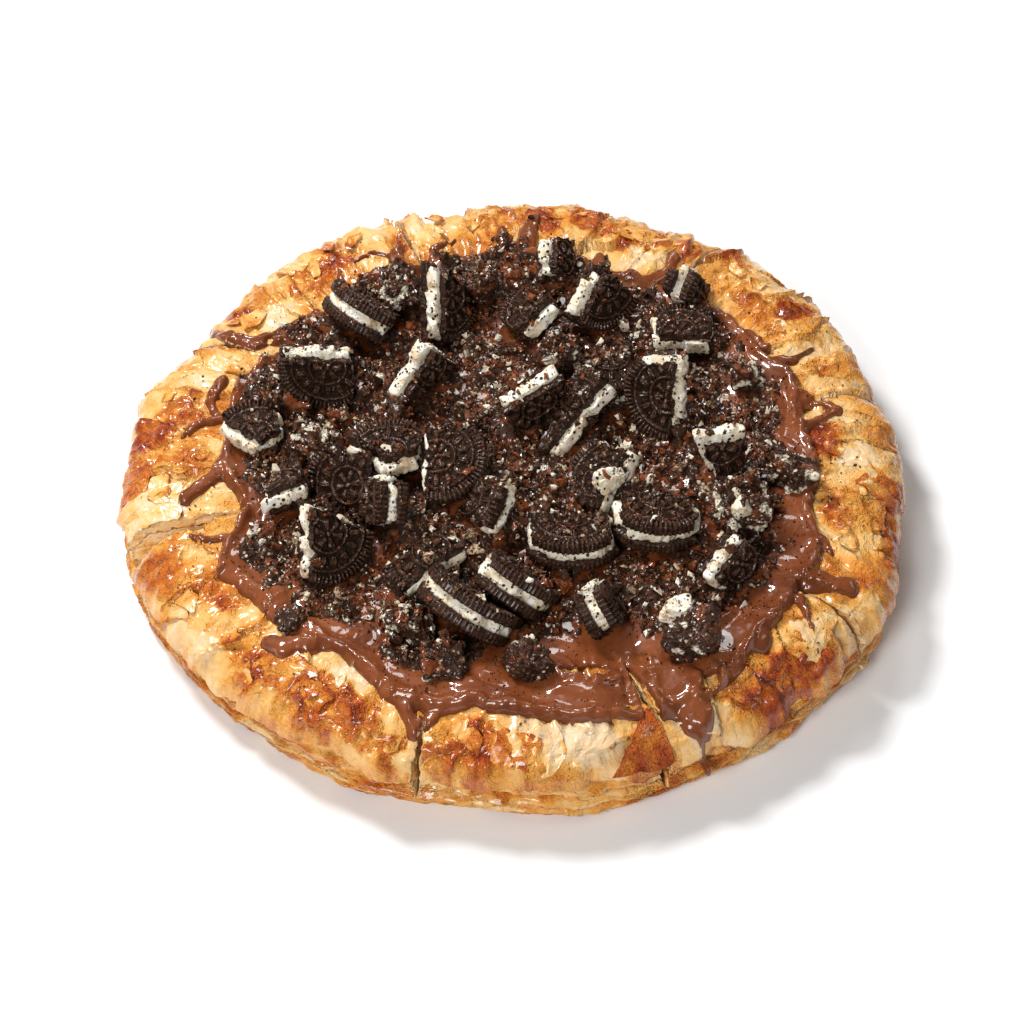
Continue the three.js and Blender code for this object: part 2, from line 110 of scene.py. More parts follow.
# The pool's radius every 15 degrees, and its trails as rows of (x, y, half width).
SPREAD_REACH = (120, 120, 118, 117, 113, 117, 117, 115, 119, 115, 118, 121,
                120, 116, 130, 129, 128, 136, 133, 141, 145, 133, 133, 121)
TRAILS = (
    ((-105, 55, 4), (-118, 61, 4), (-128, 71, 3), (-131, 78, 1)),
    ((-112, 58, 3), (-101, 65, 3.5), (-88, 75, 3.5), (-80, 81, 3)),
    ((-118, 17, 3.5), (-125, 14, 3), (-133, 9, 2), (-135, 5, 1.2)),
    ((-117, -13, 5), (-124, -20, 3.5), (-131, -28, 4)),
    ((-112, -48, 3), (-122, -50, 2), (-128, -48, 1)),
    ((-107, -58, 8), (-110, -65, 7)),
    ((-77, -102, 5), (-88, -103, 5.5), (-93, -100, 5)),
    ((-64, -102, 6), (-54, -114, 5), (-43, -128, 4), (-38, -138, 4)),
    ((-38, -139, 4), (-32, -134, 2.5), (-27, -129, 3)),
    ((61, -124, 9), (66, -132, 8)),
    ((67, -138, 2), (70, -145, 1.2)),
    ((87, -93, 7), (90, -100, 7)),
    ((104, -69, 6), (115, -71, 4.6), (127, -73, 4.4)),
    ((107, -81, 3), (110, -93, 2), (112, -102, 1.5)),
    ((117, -49, 4), (122, -55, 1.5)),
    ((113, 30, 5), (122, 26, 2.5), (131, 22, 2.5)),
    ((117, 12, 4), (125, 18, 2.5), (131, 22, 2)),
    ((102, 47, 4), (114, 49, 2.5), (124, 57, 1.2)),
    ((96, 61, 6), (104, 56, 3)),
    ((53, 97, 4), (64, 104, 3.5), (68, 113, 3.5)),
    ((35, 109, 5), (36, 114, 3)),
    ((2, 114, 6), (5, 127, 5.5), (7, 137, 4)),
    ((-5, 121, 5), (-7, 129, 3)),
    ((-35, 109, 4), (-37, 116, 2), (-27, 123, 1.2)),
    ((-52, 106, 5), (-53, 115, 4)),
    ((-54, 112, 1.5), (-62, 114, 1.3), (-71, 109, 1)),
    ((-75, 95, 3), (-77, 103, 1.5)),
    ((-122, 35, 4), (-126, 24, 2.5), (-122, 16, 2)),
)

COOKIE_RADIUS = 20.0
WAFER = 4.2
CREAM = 4.6
CREAM_INSET = 1.8
WAFER_ROUND = 0.9
TEETH = 64
# Broken cookies: layers, middle of the whole cookie, lean direction, lean, breaks.
COOKIES = (
    ("both", (63, 17, 52), -126, 63, ((-20, 3), (79, 15))),
    ("both", (-77, 32, 55), -89, 74, ((90, 4), (1, 11))),
    ("both", (-75, -58, 53), -52, 57, ((-165, 7), (80, 8))),
    ("both", (79, -12, 55), -80, 82, ((103, 4), (-149, 8), (9, 12))),
    ("both", (-18, -86, 43), 46, 49, ((74, 5),)),
    ("both", (-33, -63, 43), -90, 11, ((-51, 7), (129, 7), (27, 13))),
    ("both", (21, -47, 42), 97, 13, ((91, 4), (0, 17), (180, 18))),
    ("both", (54, -39, 43), 74, 15, ((87, 4), (179, 17), (-1, 15))),
    ("both", (-32, 72, 54), -30, 69, ((-152, 6), (73, 7), (109, 12))),
    ("both", (-104, -4, 43), -163, 5, ((-132, 3), (-47, 4), (11, 11))),
    ("both", (-51, -15, 45), 119, 8, ((-133, 4), (-72, 5), (0, 14))),
    ("both", (-90, -33, 47), 139, 20, ((-71, 3), (160, 7), (16, 9))),
    ("both", (34, 79, 55), -51, 67, ((168, 5), (68, 6))),
    ("both", (6, 16, 52), 116, 83, ((-83, 6), (-173, 14), (7, 13))),
    ("both", (23, 10, 45), -165, 33, ((-52, 6), (148, 8))),
    ("lower", (-32, -15, 46), -106, 14, ((88, 13), (180, 4))),
    ("lower", (34, -26, 45), -166, 42, ((-46, 5), (-129, 11), (45, 14), (175, 13))),
    ("both", (-3, -73, 43), 42, 50, ((72, 5), (162, 12))),
    ("both", (67, 53, 44), 119, 8, ((-91, 3), (180, 11), (0, 14))),
    ("both", (11, 66, 49), 179, 34, ((-58, 3), (48, 6), (-148, 14))),
    ("both", (-62, 72, 42), 46, 44, ((74, 5), (-16, 12))),
    ("both", (-56, -33, 41), -166, 70, ((61, 9), (-119, 9), (150, 8))),
    ("both", (33, -82, 39), 11, 60, ((53, 6), (143, 9), (-37, 9))),
    ("both", (81, -67, 48), -48, 75, ((153, 5), (71, 9), (-27, 11), (-102, 12))),
    ("both", (15, 102, 46), -20, 60, ((-164, 5), (115, 8), (-65, 8), (16, 9))),
    ("both", (73, 87, 42), 152, 90, ((24, 6), (-156, 6), (114, 8))),
    ("both", (-39, 34, 52), -43, 80, ((170, 5), (82, 7), (-54, 9))),
    ("lower", (-15, -32, 42), -173, 55, ((138, 6), (-132, 9), (48, 8))),
    ("wafer", (-66, -27, 45), -128, 54, ((-13, 9), (80, 13))),
    ("both", (38, 41, 40), 90, 7, ((90, 3), (180, 9), (0, 8))),
)
# Lumps of crushed cookie and loose pieces of cream: x, y, z, radius.
LUMPS = (
    (-104, 22, 45, 7.2), (-50, 84, 44, 7.5), (-17, 89, 43, 8.5), (16, 46, 44, 7.5),
    (85, -38, 44, 10.5), (108, -18, 43, 8), (64, -103, 43, 9), (3, -112, 42, 8),
    (-28, -112, 42, 7), (-85, -93, 41, 5.5), (-78, -2, 42, 7.5), (-41, -94, 41, 8),
    (95, 36, 42, 6), (40, 49, 41, 7),
)
CREAM_PIECES = ((59, -88, 42, 5.3), (86, -46, 53, 4), (36, -28, 51, 6.5))

# ---- What only the looks add -----------------------------------------------------------------

# Where the crust is browned (above zero) or pale (below): direction, inset from the outline,
# half length along the rim, half width across it, strength.
BAKING = (
    (-176, 4, 14, 7, 0.45), (-178, 28, 10, 8, 0.2), (-154, 12, 14, 9, 0.2), (-145, 26, 9, 8, 0.3),
    (-133, 12, 13, 8, 0.3), (-118, 12, 22, 10, 0.42), (-108, 7, 6, 5, 0.4), (-99, 6, 14, 6, 0.35),
    (-95, 13, 6, 6, 0.5), (-72, 5, 9, 8, 0.45), (-50, 7, 18, 8, 0.55), (-56, 16, 8, 8, 0.4),
    (-44, 10, 8, 7, 0.45), (-17, 5, 16, 6, 0.45), (-16, 29, 10, 6, 0.35), (-7, 7, 6, 7, 0.6),
    (2, 33, 10, 8, 0.5), (20, 24, 5, 8, 0.3), (34, 18, 8, 7, 0.6), (42, 28, 12, 8, 0.35),
    (50, 15, 10, 6, 0.35), (58, 20, 8, 8, 0.35), (66, 22, 12, 8, 0.45), (75, 18, 14, 10, 0.5),
    (86, 22, 10, 8, 0.4), (94, 22, 10, 10, 0.35), (113, 24, 8, 8, 0.35), (124, 20, 10, 10, 0.5),
    (133, 26, 14, 10, 0.35), (145, 9, 6, 4, 0.4), (172, 22, 14, 10, 0.5), (176, 12, 10, 8, 0.5),
    (-166, 16, 8, 12, -0.5), (-144, 10, 14, 9, -0.35), (-118, 25, 9, 4, -0.5),
    (-105, 10, 4, 10, -0.4), (-80, 12, 16, 8, -0.4), (-88, 18, 8, 6, -0.2), (-64, 8, 9, 8, -0.4),
    (-36, 10, 10, 9, -0.4), (-30, 6, 5, 6, -0.2), (-24, 20, 10, 8, -0.2), (-2, 18, 9, 9, -0.4),
    (15, 20, 7, 14, -0.4), (24, 22, 5, 14, -0.25), (66, 36, 9, 6, -0.35), (68, 10, 9, 8, -0.2),
    (107, 15, 10, 12, -0.35), (143, 28, 14, 5, -0.3), (152, 12, 6, 10, -0.3),
    (161, 22, 12, 8, -0.35),
)
# How much cream sticks to a lump; the others have a little.
CREAMY_LUMPS = {2: 0.6, 5: 0.6, 6: 0.6, 11: 0.9, 12: 0.8, 13: 0.7}
A_LITTLE_CREAM = 0.2
# The pieces of cream: length, width and height for their radius, and how each is turned.
CREAM_FORMS = (((1.25, 0.85, 0.8), 0.3), ((1.1, 0.9, 0.85), 0.9), ((1.05, 0.6, 0.7), 0.75))
# Sheets of crust that stand out in the photograph: browning, then corners as (direction, inset).
FLAPS = (
    (0.55, ((-69.4, 21), (-68.2, 1.5), (-77.5, 1.5), (-76, 5))),
    (0.35, ((-93, 17), (-86.5, 14), (-88, 4), (-94, 5))),
    (-0.2, ((-172, 26), (-164, 24), (-165, 9), (-171, 7))),
    (0.4, ((-176, 14), (-170.5, 10), (-171.5, 1), (-178, 2))),
    (-0.1, ((-39.5, 26), (-35.6, 12), (-43, 4), (-46, 14))),
    (0.35, ((-131, 24), (-122, 20), (-125, 8), (-134, 10))),
    (0.45, ((-8, 22), (-4, 14), (-6, 3), (-12, 5))),
    (0.1, ((60, 28), (72, 24), (68, 12), (60, 14))),
)
# Gaps in the spread through which the crust shows: x, y, half length, half width, turn.
WINDOWS = ((26, -113, 8, 2.6, 10), (70, -119, 5, 2.2, 60), (56, 108, 7, 5, 40),
           (-104, 54, 6, 3, 30), (120, 20, 5, 3, 70))

RIM_SCALE = 150.0  # the radius at which directions on the rim are turned into lengths
SPREAD_BOTTOM = 32.8  # the undersides of the spread and the crumb bed are no higher than this
BED_BOTTOM = 33.6
AWAY = 50.0  # stands for a place far from any edge
CRUST_STEPS = 960  # how finely the turned pieces are divided round the pastry
LAYER_STEPS = 720
BLADE_STEPS = (64, 34)
SCRAP_STEPS = 56
SPREAD_STEP = 1.25  # the grids of the spread and the crumb bed
BED_STEP = 0.88
MAP_STEP = 0.9  # the height maps below the spread, and the finer ones below the crumbs
FINE_MAP_STEP = 0.7


# ---- Noise and curves ------------------------------------------------------------------------

SHUFFLED = np.random.default_rng(11).permutation(256).astype(np.int32)
DIRECTIONS = np.random.default_rng(12).normal(size=(256, 3)).astype(np.float32)
DIRECTIONS /= np.linalg.norm(DIRECTIONS, axis=1, keepdims=True)
OFFSETS = np.random.default_rng(13).uniform(0.05, 0.95, (256, 3)).astype(np.float32)


def lattice(points, size):
    """The grid cell of each point, and its place in that cell, one row for each axis."""
    place = (np.asarray(points, np.float32) / np.float32(size)).reshape(-1, 3).T
    cell = np.floor(place)
    return cell.astype(np.int32), place - cell


def scramble(x, y, z, seed):
    """A number from 0 to 255 for each cell, the same each time."""
    code = SHUFFLED[(x + 37 * seed) & 255]
    code = SHUFFLED[(code + y) & 255]
    return SHUFFLED[(code + z) & 255]


def noise(points, size, seed=0):
    """Smooth noise from about -1 to 1 with features about `size` across."""
    cell, part = lattice(points, size)
    fade = part**3 * (part * (part * 6 - 15) + 10)
    total = np.zeros(part.shape[1], np.float32)
    for dx, dy, dz in np.ndindex(2, 2, 2):
        way = DIRECTIONS[scramble(cell[0] + dx, cell[1] + dy, cell[2] + dz, seed)]
        slope = way[:, 0] * (part[0] - dx) + way[:, 1] * (part[1] - dy) + way[:, 2] * (part[2] - dz)
        weight = (fade[0] if dx else 1 - fade[0]) * (fade[1] if dy else 1 - fade[1])
        total += weight * (fade[2] if dz else 1 - fade[2]) * slope
    return 1.9 * total


def rough(points, size, octaves, seed=0):
    """Noise of several sizes, each half as large as the one before."""
    return sum(0.5**i * noise(points, size / 2**i, seed + i) for i in range(octaves))


def creases(points, size, seed=0):
    """Noise with sharp ridges, from about -1 to 1."""
    return 1 - 2.6 * np.abs(noise(points, size, seed))


def bubbles(points, size, seed=0):
    """How far inside its own bubble each point is, from 0 at the edge to 1."""
    cell, part = lattice(points, size)
    nearest = np.full(part.shape[1], 9.0, np.float32)
    second = nearest.copy()
    for dx, dy, dz in np.ndindex(3, 3, 3):
        home = OFFSETS[scramble(cell[0] + dx - 1, cell[1] + dy - 1, cell[2] + dz - 1, seed)]
        gap = sum((home[:, axis] + step - 1 - part[axis]) ** 2
                  for axis, step in enumerate((dx, dy, dz)))
        second = np.minimum(second, np.maximum(nearest, gap))
        nearest = np.minimum(nearest, gap)
    return np.clip(np.sqrt(second) - np.sqrt(nearest), 0, 1)


def smooth(low, high, value):
    """A soft step from 0 to 1."""
    part = np.clip((value - low) / (high - low), 0, 1)
    return part * part * (3 - 2 * part)


def waves(rows, angle):
    """The sum of some waves round the pastry."""
    return sum(size * np.cos(count * angle - math.radians(turn)) for count, size, turn in rows)


def wrapped(angle):
    """The same direction from -pi to pi."""
    return np.arctan2(np.sin(angle), np.cos(angle))


def on_floor(x, y):
    """Points on the ground plane, to ask noise for."""
    return np.stack([x, y, 0 * x], -1)


# ---- The pastry's form -----------------------------------------------------------------------


def outline(angle):
    """The pastry's radius in one direction."""
    return RIM_RADIUS + waves(RIM_WAVES, angle)


def cut_distance(angle):
    """How far a place on the rim is from the nearest cut."""
    turns = [angle - math.radians(direction) for direction, _, _ in CUTS]
    return np.min([np.abs(wrapped(turn)) for turn in turns], 0) * RIM_RADIUS


def puff(angle, inset):
    """How far the rim is puffed up there, less beside a cut."""
    fade = np.clip(1 - inset / PUFF_FADE, 0, None)
    dip = CUT_DIP * np.exp(-((cut_distance(angle) / CUT_DIP_WIDTH) ** 2))
    return fade * (waves(PUFF_WAVES, angle + inset / RIM_RADIUS) - dip)


def crust_height(x, y):
    """The height of the crust at a place on top of it, without its fine relief."""
    angle = np.arctan2(y, x)
    inset = outline(angle) - np.hypot(x, y)
    return np.interp(inset, *zip(*TOP)) + puff(angle, inset)


def rim_space(angle, inset, stretch=1.0):
    """Places on the rim as points whose noise can be stretched across it."""
    return np.stack([RIM_SCALE * np.cos(angle), RIM_SCALE * np.sin(angle), inset * stretch], -1)


# ---- Mesh helpers ----------------------------------------------------------------------------


def read_points(mesh):
    """A mesh's points as an array with a row for each."""
    flat = np.empty(3 * len(mesh.vertices))
    mesh.vertices.foreach_get("co", flat)
    return flat.reshape(-1, 3)


def write_points(mesh, points):
    """Moves a mesh's points to the rows of an array."""
    mesh.vertices.foreach_set("co", np.ascontiguousarray(points, float).ravel())
    mesh.update()


def read_normals(mesh):
    """The direction a mesh faces at each of its points."""
    flat = np.empty(3 * len(mesh.vertices))
    mesh.vertices.foreach_get("normal", flat)
    return flat.reshape(-1, 3)


def mesh_from(bm, name):
    """A new mesh with what was built in an editing mesh, which is freed."""
    mesh = bpy.data.meshes.new(name)
    bm.to_mesh(mesh)
    bm.free()
    return mesh


def turned(profile, steps):
    """A closed surface of revolution about Z: a profile from axis to axis, wrapped from a grid."""
    bm = bmesh.new()
    bmesh.ops.create_grid(bm, x_segments=steps, y_segments=len(profile) - 1, size=0.5)
    for vert in bm.verts:
        turn = 2 * math.pi * round((vert.co.x + 0.5) * steps) / steps
        radius, height = profile[round((vert.co.y + 0.5) * (len(profile) - 1))]
        vert.co = (radius * math.cos(turn), radius * math.sin(turn), height)
    bmesh.ops.remove_doubles(bm, verts=bm.verts, dist=1e-5)
    bmesh.ops.recalc_face_normals(bm, faces=bm.faces)
    return bm


def store(mesh, name, values):
    """Keeps one number for each vertex, for a material to read."""
    attribute = mesh.attributes.new(name, "FLOAT", "POINT")
    attribute.data.foreach_set("value", np.ascontiguousarray(values, np.float32))


def finished(mesh, name, material, replaced=None, sharp=None):
    """Makes a mesh in millimetres a piece of the object, in metres, which rides on the pastry."""
    mesh.transform(Matrix.Scale(MM, 4))
    mesh.materials.clear()
    mesh.materials.append(material)
    mesh.shade_smooth()
    if sharp:
        mesh.set_sharp_from_angle(angle=math.radians(sharp))
    mesh.update()
    piece = bpy.data.objects.new(name, mesh)
    bpy.context.scene.collection.objects.link(piece)
    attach(piece, "root")
    if replaced:
        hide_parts(*replaced)
    return piece


# ---- The pastry ------------------------------------------------------------------------------


def along_profile(rows, step):
    """A list of (inset, height) rows with more points between them."""
    rows = np.array(rows, float)
    points = []
    for first, second in zip(rows, rows[1:]):
        count = max(1, round(1 / (step / max(np.hypot(*(second - first)), step))))
        for part in np.linspace(0, 1, count, endpoint=False):
            points.append(first + part * (second - first))
    return points + [rows[-1]]


def spun_blank(rows, steps):
    """A closed turned mesh whose points know their direction, inset and height."""
    profile = [(max(RIM_RADIUS - inset, 0.0), height) for inset, height in rows]
    mesh = mesh_from(turned(profile, steps), "blank")
    points = read_points(mesh)
    angle = np.arctan2(points[:, 1], points[:, 0])
    return mesh, angle, RIM_RADIUS - np.hypot(points[:, 0], points[:, 1]), points[:, 2]


def at_rim(angle, inset, height):
    """Points at a distance in from the pastry's outline."""
    radius = np.maximum(outline(angle) - inset, 0)
    return np.stack([radius * np.cos(angle), radius * np.sin(angle), height], -1)


def baked_patches(angle, inset):
    """How browned the crust is at a place, from about -0.5 to 0.7."""
    place = rim_space(angle, inset)
    angle = angle + (4.5 * noise(place, 9, 31) + 2.2 * noise(place, 3.5, 32)) / RIM_SCALE
    inset = inset + 4.0 * noise(place, 8, 33) + 2.0 * noise(place, 3.2, 34)
    total = np.zeros(len(angle))
    for direction, middle, length, width, strength in BAKING:
        turn = wrapped(angle - math.radians(direction)) * RIM_SCALE / length
        reach = np.sqrt(turn**2 + ((inset - middle) / width) ** 2)
        total += strength * smooth(1.25, 0.7, reach)
    return total


class Sheets:
    """The torn sheets of dough on the rim: each place belongs to the nearest of many middles."""

    def __init__(self, count, seed):
        random = np.random.default_rng(seed)
        self.turns = (np.arange(count) + random.uniform(-0.45, 0.45, count)) * 2 * np.pi / count
        self.insets = random.uniform(-2, 50, count)
        self.heights = random.uniform(-0.9, 1.0, count)
        self.tilts = random.uniform(-0.05, 0.05, (count, 2))
        self.tones = random.uniform(-1, 1, count)

    def at(self, angle, inset):
        """The height, distance to the edge, whether it lies on top, and tone of each place."""
        place = rim_space(angle, inset)
        turn = angle + 1.5 * noise(place, 6, 41) / RIM_SCALE
        inset = inset + 1.5 * noise(place, 6, 42)
        across = wrapped(turn[:, None] - self.turns) * RIM_SCALE
        down = inset[:, None] - self.insets
        gaps = across**2 + 0.55 * down**2
        order = np.argpartition(gaps, 2, axis=1)[:, :2]
        far = np.sqrt(np.take_along_axis(gaps, order, 1))
        swap = far[:, 0] > far[:, 1]
        order[swap] = order[swap][:, ::-1]
        far[swap] = far[swap][:, ::-1]
        own, other = order.T
        rows = np.arange(len(own))
        away = np.stack([across[rows, own], down[rows, own]], -1)
        level = self.heights[own] + (self.tilts[own] * away).sum(-1)
        edge = (far[:, 1] - far[:, 0]) / 2
        return level, edge, np.sign(self.heights[own] - self.heights[other]), self.tones[own]


SHEETS = Sheets(92, 3)


def crust_relief(angle, inset, depth):
    """The fine height and the browning of the top sheet."""
    place = rim_space(angle, inset)
    rim = smooth(60, 44, inset)
    bake = baked_patches(angle, inset)
    level, edge, over, tone = SHEETS.at(angle, inset)
    lip = smooth(0, 4, inset)
    long_folds = creases(rim_space(angle, inset, 0.4) + 3 * noise(place, 14, 5)[:, None], 11, 7)
    small_folds = creases(place + 1.2 * noise(place, 5, 6)[:, None], 4.6, 8)
    blister = bubbles(place + 1.5 * noise(place, 5, 9)[:, None], 8, 10)
    pimples = bubbles(place + 0.8 * noise(place, 3, 11)[:, None], 3.6, 12)
    brown = smooth(0.05, 0.4, bake)
    relief = depth * long_folds * (1 - 0.4 * brown) + 0.35 * small_folds
    relief += brown * (2.0 * smooth(0, 0.5, blister) - 0.8)
    relief += (pimples - 0.3) * (0.15 + 0.85 * brown)
    relief += 1.25 * level + over * (0.6 * np.exp(-edge / 1.3) + 0.35 * np.exp(-edge / 0.5))
    relief += 0.5 * rough(place, 20, 2, 14)
    relief *= rim * (0.35 + 0.65 * lip)
    golden = 0.05 + 0.32 * smooth(-0.5, 0.6, rough(place, 24, 3, 15))
    shade = 0.8 * bake + golden + 0.09 * tone + 0.07 * relief * (0.3 + brown)
    shade += 0.2 * (over > 0) * np.exp(-edge / 0.8) + 0.14 * creases(place, 5, 16) * brown
    shade += 0.2 * np.exp(-np.maximum(inset, 0) / 1.6) * smooth(-0.3, 0.3, noise(place, 9, 17))
    return relief, shade


def top_sheet(depth):
    """The top crust: a closed sheet that overhangs the layers of the side."""
    under = [(158, 30), (60, 30.5), (24, 32), (12, 29.5), (5, 25), (2.2, 21.2)]
    rows = along_profile(under, 12)[:-1]
    rows += along_profile([under[-1], (0.4, 20.6), (0, 21.6), *TOP[1:7]], 0.9)
    rows += along_profile(TOP[6:9], 2.2)[1:] + along_profile(TOP[8:], 7)[1:]
    mesh, angle, inset, height = spun_blank(rows, CRUST_STEPS)
    # How much of the relief goes up rather than out.
    upward = np.interp(inset, (-1, 0.5, 3, 8, 14, 22, 30, 50),
                       (-0.5, 0.1, 0.45, 0.75, 0.93, 0.98, 1, 1))
    upper = height > np.interp(inset, *zip(*TOP)) - 1.2
    relief, shade = crust_relief(angle, inset, depth)
    edge = rim_space(angle, 0 * inset)
    torn = 3.0 * rough(edge, 19, 2, 18) + 0.45 * creases(edge, 4, 19)
    torn *= smooth(9, 1, inset)
    moved = inset - torn - relief * np.sqrt(1 - upward**2) * upper
    # A torn edge that comes out also hangs down a little.
    drop = 0.35 * torn * smooth(6, 0, inset)
    lift = np.where(upper, relief * upward, 0.25 * relief)
    write_points(mesh, at_rim(angle, moved, height + puff(angle, inset) + lift - drop))
    return mesh, shade


def side_layers():
    """The stack of thin layers below the top sheet, down to the flat underside."""
    core_top = [(1.5, 19), (4, 23.5), (9, 28), (16, 30.5), (30, 31), (158, 30)]
    rows = along_profile([(158, 0), (40, 0), (18, 0)], 14)[:-1]
    rows += along_profile([(18, 0), *SIDE], 0.52)[:-1]
    rows += along_profile([SIDE[-1], *core_top[:3]], 0.8)[:-1] + along_profile(core_top[2:], 11)
    mesh, angle, inset, height = spun_blank(rows, LAYER_STEPS)
    ring = np.interp(height, [level for _, level in SIDE], np.arange(1, len(SIDE) + 1))
    side = smooth(0.2, 2.5, height) * smooth(26, 18, height) * smooth(22, 12, inset)
    place = rim_space(angle, 0 * inset)
    out = SIDE_WAVINESS * np.cos(7 * angle + 2.3 * ring) * np.cos(4 * angle - ring) * side
    shade = np.full(len(angle), 0.16) + 0.22 * rough(place + height[:, None], 16, 3, 21)
    # Thick layers, and thin ones within them.
    for pitch, depth, seed in ((3.3, 2.0, 22), (1.3, 0.75, 27)):
        phase = height / pitch + 0.55 * noise(place, 34, seed) + 0.2 * noise(place, 9, seed + 1)
        layer = np.floor(phase)
        part = phase - layer
        own = np.stack([place[:, 0], place[:, 1], 40 * layer], -1)
        jut = rough(own, 13, 3, seed + 2)
        edge = 1 - np.abs(2 * part - 1) ** 4
        out = out + side * depth * (0.7 * jut + 0.55 * edge - 0.55)
        # Layers that jut out are browner; the grooves where one layer meets the next are made
        # browner too, as painted shade.
        shade += 0.14 * smooth(0.0, 0.6, jut) * edge * depth + 0.12 * (1 - edge)
    scorched = smooth(6, 1.5, height + 2 * noise(place, 12, 29))
    shade += 0.5 * scorched * smooth(-0.2, 0.6, noise(place, 25, 30))
    x, y, _ = place.T
    out += 0.25 * side * creases(np.stack([x, y, 3 * height], -1), 3.5, 26)
    height = height + 0.5 * side * noise(np.stack([x, y, 9 * height], -1), 11, 28)
    raised = height + np.where(height > 17, puff(angle, inset) - 0.2, 0)
    write_points(mesh, at_rim(angle, inset - out, np.maximum(raised, 0) * (height > 0.05)))
    return mesh, shade


def cut_blade(direction, inner, width):
    """The air that one cut opens: a wedge with uneven, layered walls."""
    bm = bmesh.new()
    bmesh.ops.create_grid(bm, x_segments=BLADE_STEPS[0], y_segments=BLADE_STEPS[1], size=1)
    bmesh.ops.rotate(bm, verts=bm.verts, matrix=Matrix.Rotation(math.pi / 2, 3, "X"))
    walls = bmesh.ops.extrude_face_region(bm, geom=bm.faces[:])
    moved = [item for item in walls["geom"] if isinstance(item, bmesh.types.BMVert)]
    bmesh.ops.translate(bm, vec=(0, 1, 0), verts=moved)
    bmesh.ops.recalc_face_normals(bm, faces=bm.faces)
    mesh = mesh_from(bm, "blade")
    points = read_points(mesh)
    radius = np.interp(points[:, 0], (-1, 1), (inner, CUT_REACH))
    height = np.interp(points[:, 2], (-1, 1), (CUT_FLOOR - 6, CUT_TOP))
    half = np.maximum(width / 2 * (radius - inner) / (RIM_RADIUS - inner), 0.15)
    half *= np.interp(height, (CUT_FLOOR - 6, CUT_FLOOR + 4, 40), (0.02, 0.8, 1.25))
    wall = np.where(points[:, 1] > 0.5, 1.0, -1.0)
    seed = np.stack([radius, 25 * wall + direction, 1.8 * height], -1)
    uneven = 0.9 * noise(seed, 9, 51) + 0.5 * creases(seed, 3.4, 52)
    middle = 1.2 * noise(np.stack([radius, 0 * radius + direction, 0 * radius], -1), 22, 53)
    across = middle + wall * np.maximum(half + uneven * np.minimum(half, 1), 0.04)
    write_points(mesh, np.stack([radius, across, height], -1))
    mesh.transform(Matrix.Rotation(math.radians(direction), 4, "Z"))
    return mesh


def without(mesh, blades):
    """Cuts blades out of a mesh with Booleans, and returns the mesh that is left."""
    body = bpy.data.objects.new("cutting", mesh)
    bpy.context.scene.collection.objects.link(body)
    tools = []
    for number, blade in enumerate(blades):
        tool = bpy.data.objects.new("blade_%d" % number, blade)
        bpy.context.scene.collection.objects.link(tool)
        step = body.modifiers.new("cut", "BOOLEAN")
        step.operation = "DIFFERENCE"
        step.solver = "MANIFOLD"
        step.object = tool
        tools.append(tool)
    graph = bpy.context.evaluated_depsgraph_get()
    result = bpy.data.meshes.new_from_object(body.evaluated_get(graph))
    for unused in (body, *tools):
        bpy.data.objects.remove(unused)
    return result


def inside_cut(points, normals):
    """Which points lie on the walls of a cut."""
    angle = np.arctan2(points[:, 1], points[:, 0])
    radius = np.hypot(points[:, 0], points[:, 1])
    found = np.zeros(len(points))
    for direction, inner, width in CUTS:
        turn = wrapped(angle - math.radians(direction))
        half = width / 2 * (radius - inner) / (RIM_RADIUS - inner)
        near = (np.abs(turn * radius) < np.maximum(half, 0.3) * 1.3 + 2.2) & (radius > inner - 1)
        along = np.abs(normals[:, 0] * math.sin(math.radians(direction))
                       - normals[:, 1] * math.cos(math.radians(direction)))
        found = np.maximum(found, near * smooth(0.55, 0.8, along) * (points[:, 2] > CUT_FLOOR - 5))
    return found


def bake_cuts(mesh, layered):
    """Makes the walls of the cuts pale, and marks where thin layers show."""
    points, normals = read_points(mesh), read_normals(mesh)
    values = np.empty(len(mesh.vertices), np.float32)
    mesh.attributes["bake"].data.foreach_get("value", values)
    wall = inside_cut(points, normals)
    values = values * (1 - wall) + wall * (-0.1 + 0.25 * noise(points, 6, 60))
    mesh.attributes["bake"].data.foreach_set("value", values.astype(np.float32))
    store(mesh, "side", np.maximum(wall, smooth(20, 16, points[:, 2]) if layered else 0))


# ---- Torn sheets of crust --------------------------------------------------------------------


def polygon_reach(random, corners, angle):
    """The outline of a torn scrap with straight-ish sides, about 1 from its middle."""
    turns = (np.arange(corners) + random.uniform(-0.32, 0.32, corners)) * 2 * np.pi / corners
    sides = random.uniform(0.62, 1.0, corners)
    facing = np.cos(angle[:, None] - turns)
    return np.min(np.where(facing > 0.05, sides / np.maximum(facing, 0.05), 9.0), axis=1)


def corner_reach(corners, angle):
    """The outline of a sheet with the given corners, as a distance from its middle."""
    reach = np.full(len(angle), AWAY)
    for (ax, ay), (bx, by) in zip(corners, corners[1:] + corners[:1]):
        nx, ny = by - ay, ax - bx
        facing = nx * np.cos(angle) + ny * np.sin(angle)
        room = nx * ax + ny * ay
        facing, room = facing * np.sign(room), abs(room)
        far = np.where(facing > 1e-6, room / np.maximum(facing, 1e-6), AWAY)
        reach = np.minimum(reach, far)
    return reach


